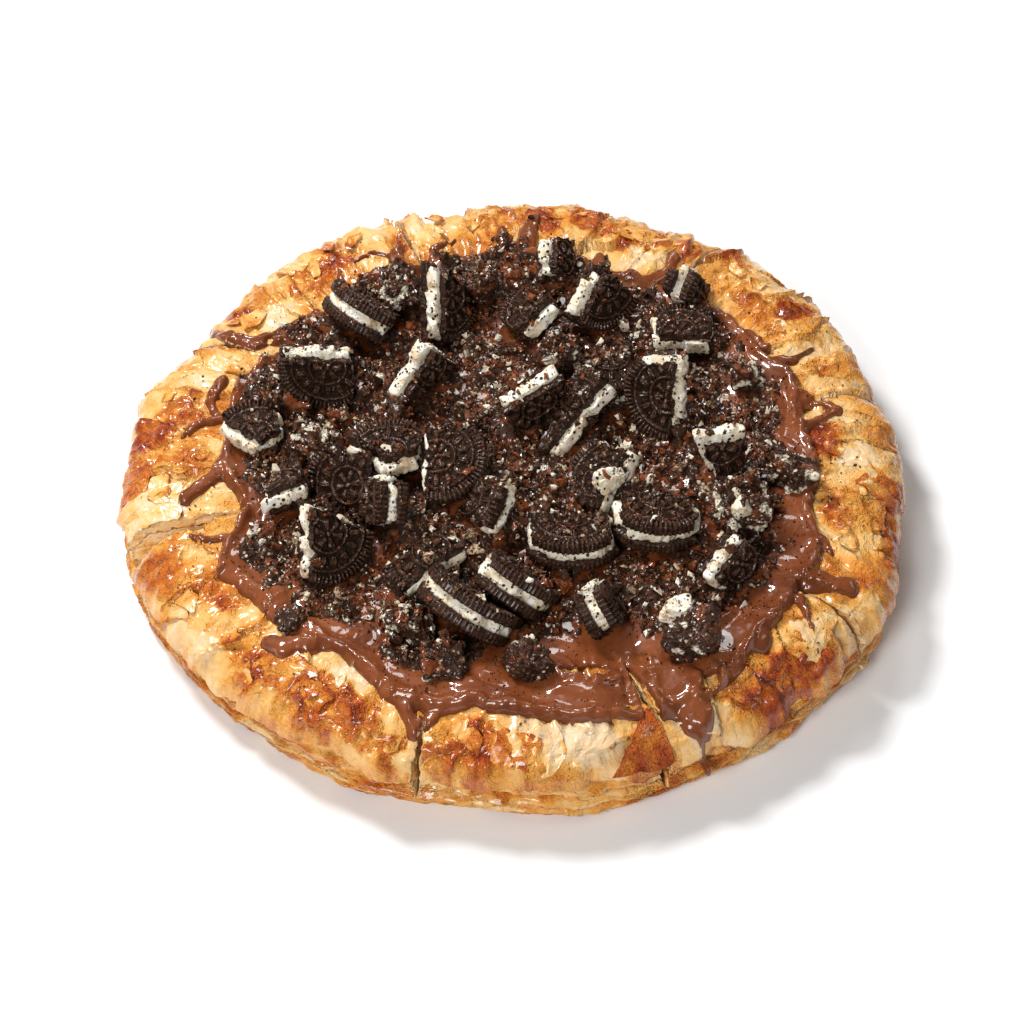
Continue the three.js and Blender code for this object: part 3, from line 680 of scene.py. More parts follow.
def scrap(random, direction, inset, length, width, turn, lift, curl, bake, corners=None):
    """A thin torn sheet of crust that lies on the rim with one side curling up."""
    thickness = random.uniform(0.35, 0.7)
    profile = [(part, 0.0) for part in (0, 0.5, 1.0)]
    profile += [(part, 1.0) for part in (1.0, 0.93, 0.82, 0.66, 0.5, 0.33, 0.16, 0)]
    mesh = mesh_from(turned(profile, SCRAP_STEPS), "scrap")
    points = read_points(mesh)
    angle = np.arctan2(points[:, 1], points[:, 0])
    part = np.hypot(points[:, 0], points[:, 1])
    if corners:
        reach = corner_reach(corners, angle) * part
    else:
        reach = polygon_reach(random, random.integers(4, 7), angle) * part
    seed = random.uniform(0, 500)
    along, across = reach * np.cos(angle) * length / 2, reach * np.sin(angle) * width / 2
    place = np.stack([along, across, 0 * along + seed], -1)
    along = along + 0.9 * noise(place, 4, 130) * part
    across = across + 0.9 * noise(place, 4, 131) * part
    toward = random.uniform(0, 2 * np.pi)
    bend = np.cos(toward) * along / np.abs(along).max()
    bend = bend + np.sin(toward) * across / np.abs(across).max()
    curl *= 0.3 + 0.7 * smooth(3, 16, inset)
    rise = lift + curl * np.maximum(bend + 0.25, 0) ** 2 - 0.5 * lift * np.maximum(-bend, 0)
    rise += 0.55 * rough(place, 6, 2, 132) + 0.25 * creases(place, 3, 133)
    rise += thickness * points[:, 2]
    turn = math.radians(turn)
    down = inset + along * math.sin(turn) + across * math.cos(turn)
    way = math.radians(direction) + (along * math.cos(turn) - across * math.sin(turn)) / RIM_SCALE
    down = np.maximum(down, 1.0 + 0.25 * down)
    kept = np.maximum(down, 0.4)
    level = np.interp(kept, *zip(*TOP)) + puff(way, kept) - 1.1 * (kept - down)
    lean = np.interp(kept, (0, 4, 12, 22), (0.9, 0.65, 0.3, 0))
    write_points(mesh, at_rim(way, down - lean * rise, level + rise * np.sqrt(1 - lean**2)))
    edge = smooth(0.55, 1, part)
    if not corners:
        bake = bake + 0.8 * baked_patches(way, kept)
    shade = bake + 0.3 * edge * smooth(-0.2, 0.4, noise(place, 6, 134))
    store(mesh, "bake", shade + 0.25 * rough(place, 7, 2, 135) + 0.08 * rise)
    store(mesh, "side", 0 * shade)
    return mesh


def flap(random, bake, places):
    """A sheet whose corners are given as (direction, inset)."""
    points = [(math.radians(direction) * RIM_SCALE, inset) for direction, inset in places]
    middle_x = sum(x for x, _ in points) / len(points)
    middle_y = sum(y for _, y in points) / len(points)
    corners = [(x - middle_x, y - middle_y) for x, y in points]
    direction = math.degrees(middle_x / RIM_SCALE)
    return scrap(random, direction, middle_y, 2, 2, 0, 0.6, 0.5, bake, corners)


def scraps(count):
    """Torn sheets of crust all round the rim, the large ones where the model has its flakes."""
    random = np.random.default_rng(21)
    pieces = [flap(random, *row) for row in FLAPS]
    for direction, inset, length, width, _, turn in FLAKES:
        length, width = 0.85 * length, 0.85 * width
        pieces.append(scrap(random, direction, inset + 3, length, width, turn, 0.5, 0.7, 0.1))
    for number in range(count):
        direction = 360 * (number + random.uniform(0, 1)) / count
        inset = random.uniform(4, 34)
        length, width = random.uniform(6, 17), random.uniform(4, 10)
        way = np.array([math.radians(direction)])
        radius = outline(way) - inset
        wet = spread_depth(radius * np.cos(way), radius * np.sin(way))[0]
        if cut_distance(math.radians(direction)) < length / 2 + 2 or wet > -length / 2:
            continue
        # Turn, lift, curl and bake.
        rest = [random.uniform(*ends) for ends in ((-60, 60), (0.1, 0.5), (0.2, 1.2), (-0.05, 0.2))]
        pieces.append(scrap(random, direction, inset, length, width, *rest))
    return joined(pieces, "scraps")


# ---- Height maps -----------------------------------------------------------------------------


class HeightMap:
    """The height of what lies below, seen from above, on a square grid."""

    HALF = 164.0

    def __init__(self, names, step):
        self.step = step
        self.count = int(2 * self.HALF / step) + 1
        self.heights = np.zeros((self.count, self.count))
        graph = bpy.context.evaluated_depsgraph_get()
        for name in names:
            self.lay(bpy.data.objects[name], graph)

    def lay(self, piece, graph):
        """Raises the map to a piece's top."""
        tree = BVHTree.FromObject(piece, graph)
        corners = np.array([corner[:] for corner in piece.bound_box]) / MM
        low = np.maximum(self.cell(corners.min(0)[:2]), 0)
        high = np.minimum(self.cell(corners.max(0)[:2]) + 1, self.count - 1)
        down = Vector((0, 0, -1))
        for row in range(low[1], high[1] + 1):
            y = (row * self.step - self.HALF) * MM
            for column in range(low[0], high[0] + 1):
                x = (column * self.step - self.HALF) * MM
                hit = tree.ray_cast(Vector((x, y, 0.1)), down)[0]
                if hit is not None:
                    self.heights[row, column] = max(self.heights[row, column], hit.z / MM)

    def cell(self, place):
        """The row or column that a place is in."""
        return np.floor((np.asarray(place) + self.HALF) / self.step).astype(int)

    def at(self, x, y):
        """The height at each place, between the grid's own points."""
        column = np.clip((np.asarray(x) + self.HALF) / self.step, 0, self.count - 1.001)
        row = np.clip((np.asarray(y) + self.HALF) / self.step, 0, self.count - 1.001)
        left, below = column.astype(int), row.astype(int)
        right, up = column - left, row - below
        grid = self.heights
        near = grid[below, left] * (1 - right) + grid[below, left + 1] * right
        far = grid[below + 1, left] * (1 - right) + grid[below + 1, left + 1] * right
        return near * (1 - up) + far * up

    def softened(self, width):
        """A copy with bumps narrower than the width smoothed away."""
        copy = HeightMap([], self.step)
        reach = int(2.5 * width / self.step)
        weights = np.exp(-0.5 * (np.arange(-reach, reach + 1) * self.step / width) ** 2)
        weights /= weights.sum()
        grid = np.pad(self.heights, reach, mode="edge")
        grid = sum(w * grid[i:i + self.count] for i, w in enumerate(weights))
        copy.heights = sum(w * grid[:, i:i + self.count] for i, w in enumerate(weights))
        return copy

    def heap(self, x, y, z, radius):
        """Raises the map to a grain that lies there."""
        low = np.maximum(self.cell((x - radius, y - radius)), 0)
        high = np.minimum(self.cell((x + radius, y + radius)) + 2, self.count)
        rows, columns = np.mgrid[low[1]:high[1], low[0]:high[0]]
        across, up = columns * self.step - self.HALF - x, rows * self.step - self.HALF - y
        away = (across**2 + up**2) / radius**2
        top = z + radius * np.sqrt(np.clip(1 - away, 0, 1)) * 0.8
        patch = self.heights[low[1]:high[1], low[0]:high[0]]
        np.copyto(patch, np.maximum(patch, top), where=away < 1)


# ---- The chocolate spread --------------------------------------------------------------------


def soft_union(first, second, width):
    """The larger of two values, with a soft change between them."""
    part = np.clip(0.5 + 0.5 * (first - second) / width, 0, 1)
    return second + (first - second) * part + width * part * (1 - part)


def spread_reach(angle):
    """How far from the middle the pool of spread reaches."""
    place = np.degrees(angle) % 360 / 15
    before = np.floor(place).astype(int) % 24
    part = (1 - np.cos(np.pi * (place - np.floor(place)))) / 2
    reach = np.array(SPREAD_REACH, float)
    ripples = 1.3 * np.cos(17 * angle + 1) + 0.9 * np.cos(11 * angle + 2.5)
    return reach[before] * (1 - part) + reach[(before + 1) % 24] * part + ripples


def pool_depth(x, y):
    """How far inside the pool a place is, below zero outside it."""
    angle = np.arctan2(y, x)
    edge = 1.6 * noise(on_floor(x, y), 9, 61) + 0.6 * noise(on_floor(x, y), 4, 62)
    return spread_reach(angle) + edge - np.hypot(x, y)


def trail_depths(x, y):
    """How far inside the trails a place is, and the height of the trails there."""
    depth = np.full(len(x), -AWAY)
    height = np.zeros(len(x))
    wobble = on_floor(x, y)
    x = x + 0.9 * noise(wobble, 7, 63)
    y = y + 0.9 * noise(wobble, 7, 64)
    parts = [ends for path in TRAILS for ends in zip(path, path[1:])]
    for (ax, ay, ahalf), (bx, by, bhalf) in parts:
        near = (np.abs(x - (ax + bx) / 2) < 30) & (np.abs(y - (ay + by) / 2) < 30)
        px, py = x[near] - ax, y[near] - ay
        run = np.clip((px * (bx - ax) + py * (by - ay)) / ((bx - ax) ** 2 + (by - ay) ** 2), 0, 1)
        half = 0.8 * (ahalf + (bhalf - ahalf) * run)
        inside = half - np.hypot(px - run * (bx - ax), py - run * (by - ay))
        depth[near] = soft_union(depth[near], inside, 1.5)
        part = np.clip(1 - inside / half, 0, 1)
        ridge = (0.5 * np.minimum(half, 5) + 1.15) * np.sqrt(1 - part**2) * (inside > 0)
        both = np.clip(np.minimum(height[near], ridge), 0.01, 0.5)
        height[near] = soft_union(height[near], ridge, both)
    return depth, height


def window_gap(x, y):
    """How far outside the spread's windows and its cut a place is."""
    gap = np.full(len(x), AWAY)
    wobble = 1.5 * noise(on_floor(x, y), 5, 65)
    for wx, wy, long, wide, turn in WINDOWS:
        cos, sin = math.cos(math.radians(turn)), math.sin(math.radians(turn))
        along = (x - wx) * cos + (y - wy) * sin
        across = (y - wy) * cos - (x - wx) * sin
        reach = np.sqrt((along / long) ** 2 + (across / wide) ** 2)
        gap = np.minimum(gap, (reach - 1) * wide + wobble)
    direction = math.radians(CUTS[0][0])
    along = x * math.cos(direction) + y * math.sin(direction)
    across = np.abs(y * math.cos(direction) - x * math.sin(direction) + 0.4 * wobble)
    half = np.interp(along, (110, 118, 136, 150), (-1, 0.5, 1.9, 3))
    return np.minimum(gap, np.where(along > 108, across - half, AWAY))


def spread_depth(x, y):
    """How far inside the spread's outline a place is."""
    trails, _ = trail_depths(x, y)
    return np.minimum(soft_union(pool_depth(x, y), trails, 2.4), window_gap(x, y))


def region(depth, half, step, band):
    """A flat mesh of the places where `depth` is above zero, finer near the outline."""
    bm = bmesh.new()
    count = int(2 * half / step)
    bmesh.ops.create_grid(bm, x_segments=count, y_segments=count, size=half)

    def depths(places):
        """The depth at a list of (x, y) places."""
        return depth(*np.array(places).T)

    inside = depths([vert.co[:2] for vert in bm.verts])
    outside = [vert for vert, inner in zip(bm.verts[:], inside) if inner < -1.5 * step]
    bmesh.ops.delete(bm, geom=outside, context="VERTS")
    if band:
        inside = dict(zip(bm.verts, depths([vert.co[:2] for vert in bm.verts])))
        edges = [edge for edge in bm.edges if min(inside[vert] for vert in edge.verts) < band]
        bmesh.ops.subdivide_edges(bm, edges=edges, cuts=1, use_grid_fill=True)
    inside = depths([face.calc_center_median()[:2] for face in bm.faces])
    outside = [face for face, inner in zip(bm.faces[:], inside) if inner < 0]
    bmesh.ops.delete(bm, geom=outside, context="FACES")
    bmesh.ops.delete(bm, geom=[vert for vert in bm.verts if not vert.link_faces], context="VERTS")
    rim = [vert for vert in bm.verts if vert.is_boundary]
    places = np.array([vert.co[:2] for vert in rim])
    # The outline's points are moved onto the curve where the depth is zero.
    for _ in range(3):
        x, y = places.T
        here = depth(x, y)
        slope = np.stack([depth(x + 0.2, y) - here, depth(x, y + 0.2) - here], -1) / 0.2
        steep = np.maximum((slope**2).sum(-1), 0.2)
        places -= np.clip(here / steep, -step, step)[:, None] * slope * 0.8
    for vert, place in zip(rim, places):
        vert.co.xy = place
    return bm


def closed_below(bm):
    """Closes a flat sheet with a wall down from its outline to a floor at -1."""
    rim = [edge for edge in bm.edges if edge.is_boundary]
    wall = bmesh.ops.extrude_edge_only(bm, edges=rim)["geom"]
    verts = [item for item in wall if isinstance(item, bmesh.types.BMVert)]
    edges = [item for item in wall if isinstance(item, bmesh.types.BMEdge)]
    bmesh.ops.translate(bm, vec=(0, 0, -1), verts=verts)
    bmesh.ops.triangle_fill(bm, edges=edges, normal=(0, 0, -1))
    bmesh.ops.recalc_face_normals(bm, faces=bm.faces)


def spread(thickness):
    """The poured chocolate: a thin layer with thick rounded edges, and the trails around it."""
    bm = region(spread_depth, 127 * SPREAD_STEP, SPREAD_STEP, 6.0)
    closed_below(bm)
    mesh = mesh_from(bm, "chocolate")
    x, y, below = read_points(mesh).T
    place = on_floor(x, y)
    crust = HeightMap(["pastry_crust"], MAP_STEP)
    soft = crust.softened(3.2)
    depth = spread_depth(x, y)
    pool = pool_depth(x, y)
    _, trails = trail_depths(x, y)
    part = np.clip(1 - pool / 4.2, 0, 1)
    height = 3.4 * np.sqrt(1 - part**2) * (pool > 0)
    folds = 0.8 * noise(place, 17, 66)
    folds += 0.4 * creases(place + 6 * noise(place, 24, 67)[:, None], 17, 68)
    uneven = noise(place, 14, 57)
    bead = 1.3 * (1 + uneven) * np.exp(-((pool - 3.4 - 1.5 * uneven) / 2.3) ** 2)
    # Ropes of spread that were laid down along the rim.
    angle = np.arctan2(y, x) + 0.05 * noise(place, 30, 58)
    rope = noise(rim_space(angle, pool + 5 * noise(place, 22, 59), 3.2), 25, 56)
    ropes = 1.5 * smooth(0.05, 0.5, rope) * smooth(34, 20, pool)
    height += bead * smooth(0.8, 3, pool) + (0.8 * folds + ropes - 1.3) * smooth(3, 8, pool)
    height += 0.25 * rough(place, 6, 2, 69) * smooth(9, 18, pool)
    height = soft_union(height, trails, 0.9)
    part = np.clip(1 - depth / 2.4, 0, 1)
    height = np.minimum(height, thickness * np.sqrt(1 - part**2) + 0.02)
    height = np.maximum(height, 1.7 * np.sqrt(1 - part**2))
    inner = smooth(0.5, 6, depth)
    base = np.maximum(crust.at(x, y), crust_height(x, y) - 1.5)
    base = base * (1 - inner) + np.maximum(soft.at(x, y), base - 0.8) * inner
    top = base - 0.35 * smooth(1.2, 0, depth) + height
    # The underside stays low, or its long faces would come up through the hollow in the middle.
    underside = np.minimum(base - 1.8, SPREAD_BOTTOM)
    write_points(mesh, np.stack([x, y, np.where(below < -0.5, underside, top)], -1))
    store(mesh, "depth", depth)
    return mesh


# ---- Broken cookies --------------------------------------------------------------------------


def emboss(x, y):
    """A plain baked-in pattern, about 1 high: a toothed rim, two rings, leaves and a rosette."""
    radius, angle = np.hypot(x, y), np.arctan2(y, x)
    teeth = smooth(-0.35, 0.55, np.cos(TEETH * angle))
    teeth = teeth * smooth(15.9, 16.6, radius) * smooth(20, 19.2, radius)
    rings = sum(smooth(0.62, 0.2, np.abs(radius - middle)) for middle in (14.6, 7.4))
    count = 14
    aside = np.abs((angle / (2 * np.pi) * count) % 1 - 0.5) * 2 * np.pi * radius / count
    leaf = np.sqrt((aside / 0.95) ** 2 + ((radius - 11) / 2.3) ** 2)
    leaves = smooth(1.15, 0.85, leaf) * (0.55 + 0.45 * smooth(0.1, 0.4, aside))
    petals = smooth(-0.1, 0.5, np.cos(6 * angle))
    petals = petals * smooth(6.2, 5.4, radius) * smooth(1.4, 2.2, radius)
    heart = smooth(1.2, 0.6, radius)
    return 1.13 * teeth + np.clip(rings + leaves + petals + heart, 0, 1)


def fragment(breaks, radius):
    """The middle of a broken disc, and its reach from there in each direction."""
    grid = np.arange(-COOKIE_RADIUS, COOKIE_RADIUS + 0.1, 0.5)
    x, y = (part.ravel() for part in np.meshgrid(grid, grid))
    inside = np.hypot(x, y) < radius
    for direction, distance in breaks:
        turn = math.radians(direction)
        inside &= x * math.cos(turn) + y * math.sin(turn) < distance
    middle = np.array([x[inside].mean(), y[inside].mean()])

    def reach(angle):
        """The distance to the edge, and whether the edge there is a break."""
        dx, dy = np.cos(angle), np.sin(angle)
        along = middle[0] * dx + middle[1] * dy
        far = -along + np.sqrt(np.maximum(along**2 + radius**2 - (middle**2).sum(), 0))
        broken = np.zeros(len(angle))
        for direction, distance in breaks:
            turn = math.radians(direction)
            facing = dx * math.cos(turn) + dy * math.sin(turn)
            room = distance - middle[0] * math.cos(turn) - middle[1] * math.sin(turn)
            hit = np.where(facing > 1e-3, room / np.maximum(facing, 1e-3), 1e3)
            broken = np.where(hit < far, 1.0, broken)
            far = np.minimum(far, hit)
        return far, broken

    return middle, reach


def layer_blank(breaks, radius, low, high, rings, walls, step):
    """One layer of a broken cookie as a closed mesh; returns what its points know."""
    middle, reach = fragment(breaks, radius)
    edge = reach(np.linspace(0, 2 * np.pi, 90, endpoint=False))[0]
    steps = int(np.clip(2 * np.pi * edge.mean() * 1.1 / step, 60, 260))
    profile = [(part, low) for part in np.linspace(0, 1, rings[0], endpoint=False)]
    profile += [(1.0, height) for height in np.linspace(low, high, walls)]
    profile += [(part, high) for part in np.linspace(1, 0, rings[1] + 1)[1:]]
    mesh = mesh_from(turned(profile, steps), "layer")
    points = read_points(mesh)
    angle = np.arctan2(points[:, 1], points[:, 0])
    part = np.hypot(points[:, 0], points[:, 1])
    far, broken = reach(angle)
    return mesh, middle, angle, part, far, broken, points[:, 2]


def wafer(breaks, low, high, outer, fine, depth, seed):
    """A baked wafer whose outer face (+1 up, -1 down) carries the pattern."""
    rings = (3, 32 if fine else 14)
    mesh, middle, angle, part, far, broken, height = layer_blank(
        breaks, COOKIE_RADIUS, 0.0, high - low, rings, 7, 0.5 if fine else 0.75)
    dx, dy = np.cos(angle), np.sin(angle)
    x, y = middle[0] + part * far * dx, middle[1] + part * far * dy
    place = np.stack([x, y, height + 7.0 * seed], -1)
    thick = high - low
    tooth = smooth(-0.35, 0.55, np.cos(TEETH * np.arctan2(y, x)))
    teeth = (1 - broken) * 0.75 * (tooth - 0.5)
    corner = np.clip((height - thick + WAFER_ROUND) / WAFER_ROUND, 0, 1)
    rounding = (1 - broken) * WAFER_ROUND * (1 - np.sqrt(1 - 0.92 * corner**2))
    crumbly = broken * (1.2 * rough(place, 3.4, 3, 71) + 0.8 * bubbles(place, 1.9, 72) - 0.5)
    crumbly += broken * 1.8 * noise(np.stack([x, y, 0 * x + seed], -1), 6, 73)
    near = np.maximum(far * (1 - part), 0)
    fade = np.where(part > 0.999, 1, np.exp(-near / 1.5))
    reach = far + (teeth - rounding + crumbly) * fade
    x, y = middle[0] + part * reach * dx, middle[1] + part * reach * dy
    face = height > thick - 0.01
    chipped = broken * smooth(2.2, 0, near) * (0.5 + 0.9 * noise(place, 2.5, 74))
    pressed = emboss(x, y)
    pattern = depth * pressed - 0.85 + 0.35 * rough(place, 1.6, 2, 75) + 0.6 * noise(place, 6, 77)
    height = height + np.where(face, pattern - np.maximum(chipped, 0), 0.12 * noise(place, 2, 76))
    if outer > 0:
        final = low + height
    else:
        final = high - height
        mesh.flip_normals()
    write_points(mesh, np.stack([x, y, final], -1))
    # The relief is kept for the material, which paints shade into the low places of the pattern and
    # between the teeth.
    store(mesh, "relief", np.where(face, pressed, 0.5 + 0.4 * teeth))
    return mesh


def filling(breaks, low, high, seed):
    """The cream between two wafers, a little uneven at its edge."""
    mesh, middle, angle, part, far, broken, height = layer_blank(
        breaks, COOKIE_RADIUS - CREAM_INSET, low, high, (3, 3), 9, 0.6)
    dx, dy = np.cos(angle), np.sin(angle)
    x, y = middle[0] + far * dx, middle[1] + far * dy
    place = np.stack([x, y, height + 9.0 * seed], -1)
    flat = np.stack([x, y, 0 * x + 9.0 * seed], -1)
    swell = 1.1 * rough(place, 7, 3, 81)
    swell += broken * (0.9 - 3.4 * smooth(0.1, 0.6, noise(flat, 8, 82)))
    swell -= (1 - broken) * 2.2 * smooth(0.0, 0.5, noise(flat, 10, 84))
    level = (height - low) / (high - low)
    swell += 0.7 * np.sin(np.pi * level) - 0.2 + 0.4 * creases(place, 2.6, 83)
    reach = np.maximum(far + swell * smooth(0.5, 1, part), 0.5)
    x, y = middle[0] + part * reach * dx, middle[1] + part * reach * dy
    squeezed = 0.55 * np.clip(swell - 0.3, 0, 1.2) * smooth(0.75, 1, part)
    write_points(mesh, np.stack([x, y, height + np.sign(level - 0.5) * squeezed], -1))
    return mesh


def joined(meshes, name):
    """Several meshes as one."""
    bm = bmesh.new()
    for mesh in meshes:
        bm.from_mesh(mesh)
        bpy.data.meshes.remove(mesh)
    return mesh_from(bm, name)


def broken_cookie(number, row, depth, cookie_look, cream_look):
    """One broken cookie: its wafers as one piece, and its cream as another."""
    layers, middle, toward, lean, breaks = row
    axis = Vector((-math.sin(math.radians(toward)), math.cos(math.radians(toward)), 0))
    placed = Matrix.Translation(middle) @ Matrix.Rotation(math.radians(lean), 4, axis)
    up = math.cos(math.radians(lean))
    half = CREAM / 2
    wafers, cream = [], None
    if layers == "both":
        # The wafers never break off along quite the same line as the cream between them.
        random = np.random.default_rng(number)
        above = [(turn, far - random.uniform(0, 2.6)) for turn, far in breaks]
        under = [(turn, far + random.uniform(-1.2, 0.6)) for turn, far in breaks]
        wafers = [wafer(above, half, half + WAFER, 1, True, depth, number),
                  wafer(under, -half - WAFER, -half, -1, up < 0.45, depth, number + 40)]
        shown = [(turn, far - (random.uniform(-0.8, 0) if i == 0 else random.uniform(0, 3.5)))
                 for i, (turn, far) in enumerate(breaks)]
        cream = filling(shown, -half, half, number)
    elif layers == "lower":
        wafers = [wafer(breaks, 0, WAFER, 1, True, depth, number)]
        cream = filling(breaks, -CREAM, 0, number)
    else:
        wafers = [wafer(breaks, -WAFER / 2, WAFER / 2, 1, True, depth, number)]
    node = "cookie_%02d" % number
    body = joined(wafers, node)
    body.transform(placed)
    finished(body, "broken_" + node, cookie_look, (node,))
    if cream is not None:
        cream.transform(placed)
        finished(cream, "filling_%02d" % number, cream_look, (node,))


# ---- Lumps of crushed cookie and bits of cream -----------------------------------------------


def ball(detail):
    """A sphere of even triangles."""
    bm = bmesh.new()
    bmesh.ops.create_icosphere(bm, subdivisions=detail, radius=1)
    return mesh_from(bm, "ball")


def faceted(way, seed, count, sharp):
    """How far a rough broken lump reaches in each direction: flat breaks with worn edges."""
    random = np.random.default_rng(seed)
    normals = random.normal(size=(count, 3))
    normals /= np.linalg.norm(normals, axis=1, keepdims=True)
    normals = np.concatenate([normals, np.eye(3), -np.eye(3)])
    distances = np.concatenate([random.uniform(0.78, 1.08, count), np.full(6, 1.1)])
    facing = np.maximum(way @ normals.T, 1e-3)
    return (np.sum((facing / distances) ** sharp, axis=1)) ** (-1 / sharp)


def lump(number, row, creamy, look):
    """A mass of stuck crumbs, some of them cream."""
    x, y, z, radius = row
    mesh = ball(6 if radius > 6 else 5)
    way = read_points(mesh)
    place = way * radius + (0, 0, 31 * number)
    size = faceted(way, number, 9, 12) * (1.06 + 0.14 * noise(place, radius * 0.8, 91))
    grains = bubbles(place + 0.7 * noise(place, 3, 97)[:, None], 3.1, 93)
    fine = bubbles(place + 0.6 * noise(place, 2, 96)[:, None], 1.3, 94)
    reach = radius * size + 1.3 * smooth(0, 0.45, grains) - 0.9 + 0.45 * smooth(0, 0.5, fine)
    points = way * reach[:, None] * (1, 1, 0.85) + (x, y, z)
    write_points(mesh, points)
    white = smooth(0.0, 0.1, noise(place, 4.5, 95) - (0.6 - 0.5 * creamy))
    store(mesh, "cream", white * smooth(0, 0.08, grains))
    store(mesh, "tone", np.clip(0.55 + 0.35 * noise(place, 5, 99) + 0.4 * (grains - 0.3), 0, 1))
    finished(mesh, "crumbly_lump_%02d" % number, look, ("lump_%02d" % number,))


def cream_piece(number, row, look):
    """A loose piece of cream."""
    x, y, z, radius = row
    mesh = ball(5)
    way = read_points(mesh)
    place = way * radius + (0, 23 * number, 0)
    size = faceted(way, number + 50, 8, 14) * (0.85 + 0.12 * noise(place, radius, 97))
    size += 0.05 * rough(place, 1.5, 2, 99) + 0.05 * creases(place, 2.5, 98)
    form, turn = CREAM_FORMS[number - 1]
    write_points(mesh, way * (radius * size)[:, None] * form)
    mesh.transform(Matrix.Translation((x, y, z)) @ Matrix.Rotation(turn, 4, "Z"))
    finished(mesh, "cream_piece_%02d" % number, look, ("cream_%02d" % number,))


# ---- Crumbs ----------------------------------------------------------------------------------


def crumb_cover(x, y):
    """How thickly crumbs lie at a place, from below 0 (none) to 1."""
    angle = np.arctan2(y, x)
    place = on_floor(x, y)
    bare = 8.0 - 6.0 * np.sin(angle) + 2.5 * np.cos(angle)
    inside = spread_depth(x, y) - bare + 5 * rough(place, 18, 2, 101)
    return np.minimum(inside / 7, 1) - 0.45 * smooth(0.25, 0.6, noise(place, 15, 106))


def thin_cover(x, y):
    """How thickly fine crumbs lie on the bare spread."""
    patches = smooth(-0.35, 0.5, noise(on_floor(x, y), 13, 109))
    thin = 0.5 * smooth(1, 8, spread_depth(x, y)) * patches
    return thin * (0.6 + 0.4 * smooth(-118, -85, y))


def crumb_bed():
    """The matted crumbs between the cookies, which the loose ones lie on."""
    bm = region(lambda x, y: 9 * crumb_cover(x, y), 150 * BED_STEP, BED_STEP, 0)
    closed_below(bm)
    mesh = mesh_from(bm, "crumb_bed")
    x, y, below = read_points(mesh).T
    place = on_floor(x, y)
    chocolate = HeightMap(["chocolate_spread", "pastry_crust"], MAP_STEP).softened(0.8)
    cover = crumb_cover(x, y)
    heap = 1.2 * noise(place, 16, 102) + 0.9 * rough(place, 6, 2, 103)
    patch = smooth(0, 0.35, cover) * (1.1 + heap) - 0.75
    place = place + 0.8 * noise(place, 2.5, 107)[:, None]
    grains = 1.3 * smooth(0, 0.5, bubbles(place, 2.7, 104))
    grains += 0.6 * smooth(0, 0.6, bubbles(place, 1.5, 105))
    height = chocolate.at(x, y) + patch + (grains - 0.5) * smooth(-0.8, 0.5, patch)
    height += 0.4 * noise(place, 1.8, 110)
    underside = np.minimum(chocolate.at(x, y) - 2.6, BED_BOTTOM)
    write_points(mesh, np.stack([x, y, np.where(below < -0.5, underside, height)], -1))
    dry = 0.16 * (grains - 0.55) + 0.14 * patch + 0.4 * rough(place, 9, 2, 108)
    store(mesh, "tone", np.clip(0.4 + dry, 0, 1))
    return mesh


def grain_shapes(corners, cuts, count, roughness, seed):
    """A few different broken grains with flat faces and sharp corners, as points and triangles."""
    random = np.random.default_rng(seed)
    shapes = []
    for _ in range(count):
        bm = bmesh.new()
        for _ in range(corners):
            way = random.normal(size=3)
            bm.verts.new(way / np.linalg.norm(way) * random.uniform(0.7, 1.1))
        hull = bmesh.ops.convex_hull(bm, input=bm.verts)
        inner = list({*hull["geom_interior"], *hull["geom_unused"]})
        bmesh.ops.delete(bm, geom=inner, context="VERTS")
        if cuts:
            bmesh.ops.subdivide_edges(bm, edges=bm.edges, cuts=cuts, use_grid_fill=True)
        bmesh.ops.triangulate(bm, faces=bm.faces)
        bmesh.ops.recalc_face_normals(bm, faces=bm.faces)
        mesh = mesh_from(bm, "grain")
        points = read_points(mesh)
        place = points + (0, 0, random.uniform(0, 99))
        if cuts:
            size = noise(place, 0.8, 111) + 0.7 * bubbles(place, 0.5, 112)
            points = points * (1 + roughness * size[:, None])
        shapes.append((points, np.array([face.vertices[:] for face in mesh.polygons])))
        bpy.data.meshes.remove(mesh)
    return shapes


def scattered(shapes, places, sizes, random):
    """One mesh of many grains, each turned and squashed its own way."""
    points, faces, tones, total = [], [], [], 0
    for place, size in zip(places, sizes):
        shape, triangles = shapes[random.integers(len(shapes))]
        turn, _ = np.linalg.qr(random.normal(size=(3, 3)))
        turn *= np.sign(np.linalg.det(turn))
        grain = (shape * random.uniform(0.7, 1.15, 3) * size) @ turn.T + place
        points.append(grain)
        tones.append(np.full(len(grain), random.uniform(0, 1)))
        faces.append(triangles + total)
        total += len(grain)
    mesh = bpy.data.meshes.new("grains")
    mesh.from_pydata(np.concatenate(points).tolist(), [], np.concatenate(faces).tolist())
    store(mesh, "tone", np.concatenate(tones))
    return mesh


def strewn(count, low, high, density, ground, random, pile):
    """Places and sizes for grains, dropped on what already lies there and sunk in a little."""
    places, sizes = [], []
    while len(places) < count:
        x, y = random.uniform(-140, 140, (2, 4 * count))
        size = low * (high / low) ** random.uniform(0, 1, len(x)) ** 1.6
        keep = random.uniform(0, 1, len(x)) < density(x, y)
        keep &= (slope_at(ground, x, y) < 1.3) & (ground.at(x, y) > 20)
        for px, py, radius in zip(x[keep], y[keep], size[keep]):
            if len(places) == count:
                break
            pz = float(ground.at(px, py)) + 0.45 * radius
            places.append((px, py, pz))
            sizes.append(radius)
            if pile:
                ground.heap(px, py, pz, radius)
    return places, sizes


def slope_at(ground, x, y):
    """How steep a height map is at a place."""
    reach = 0.9
    rise = ground.at(x + reach, y) - ground.at(x - reach, y)
    turn = ground.at(x, y + reach) - ground.at(x, y - reach)
    return np.hypot(rise, turn) / (2 * reach)


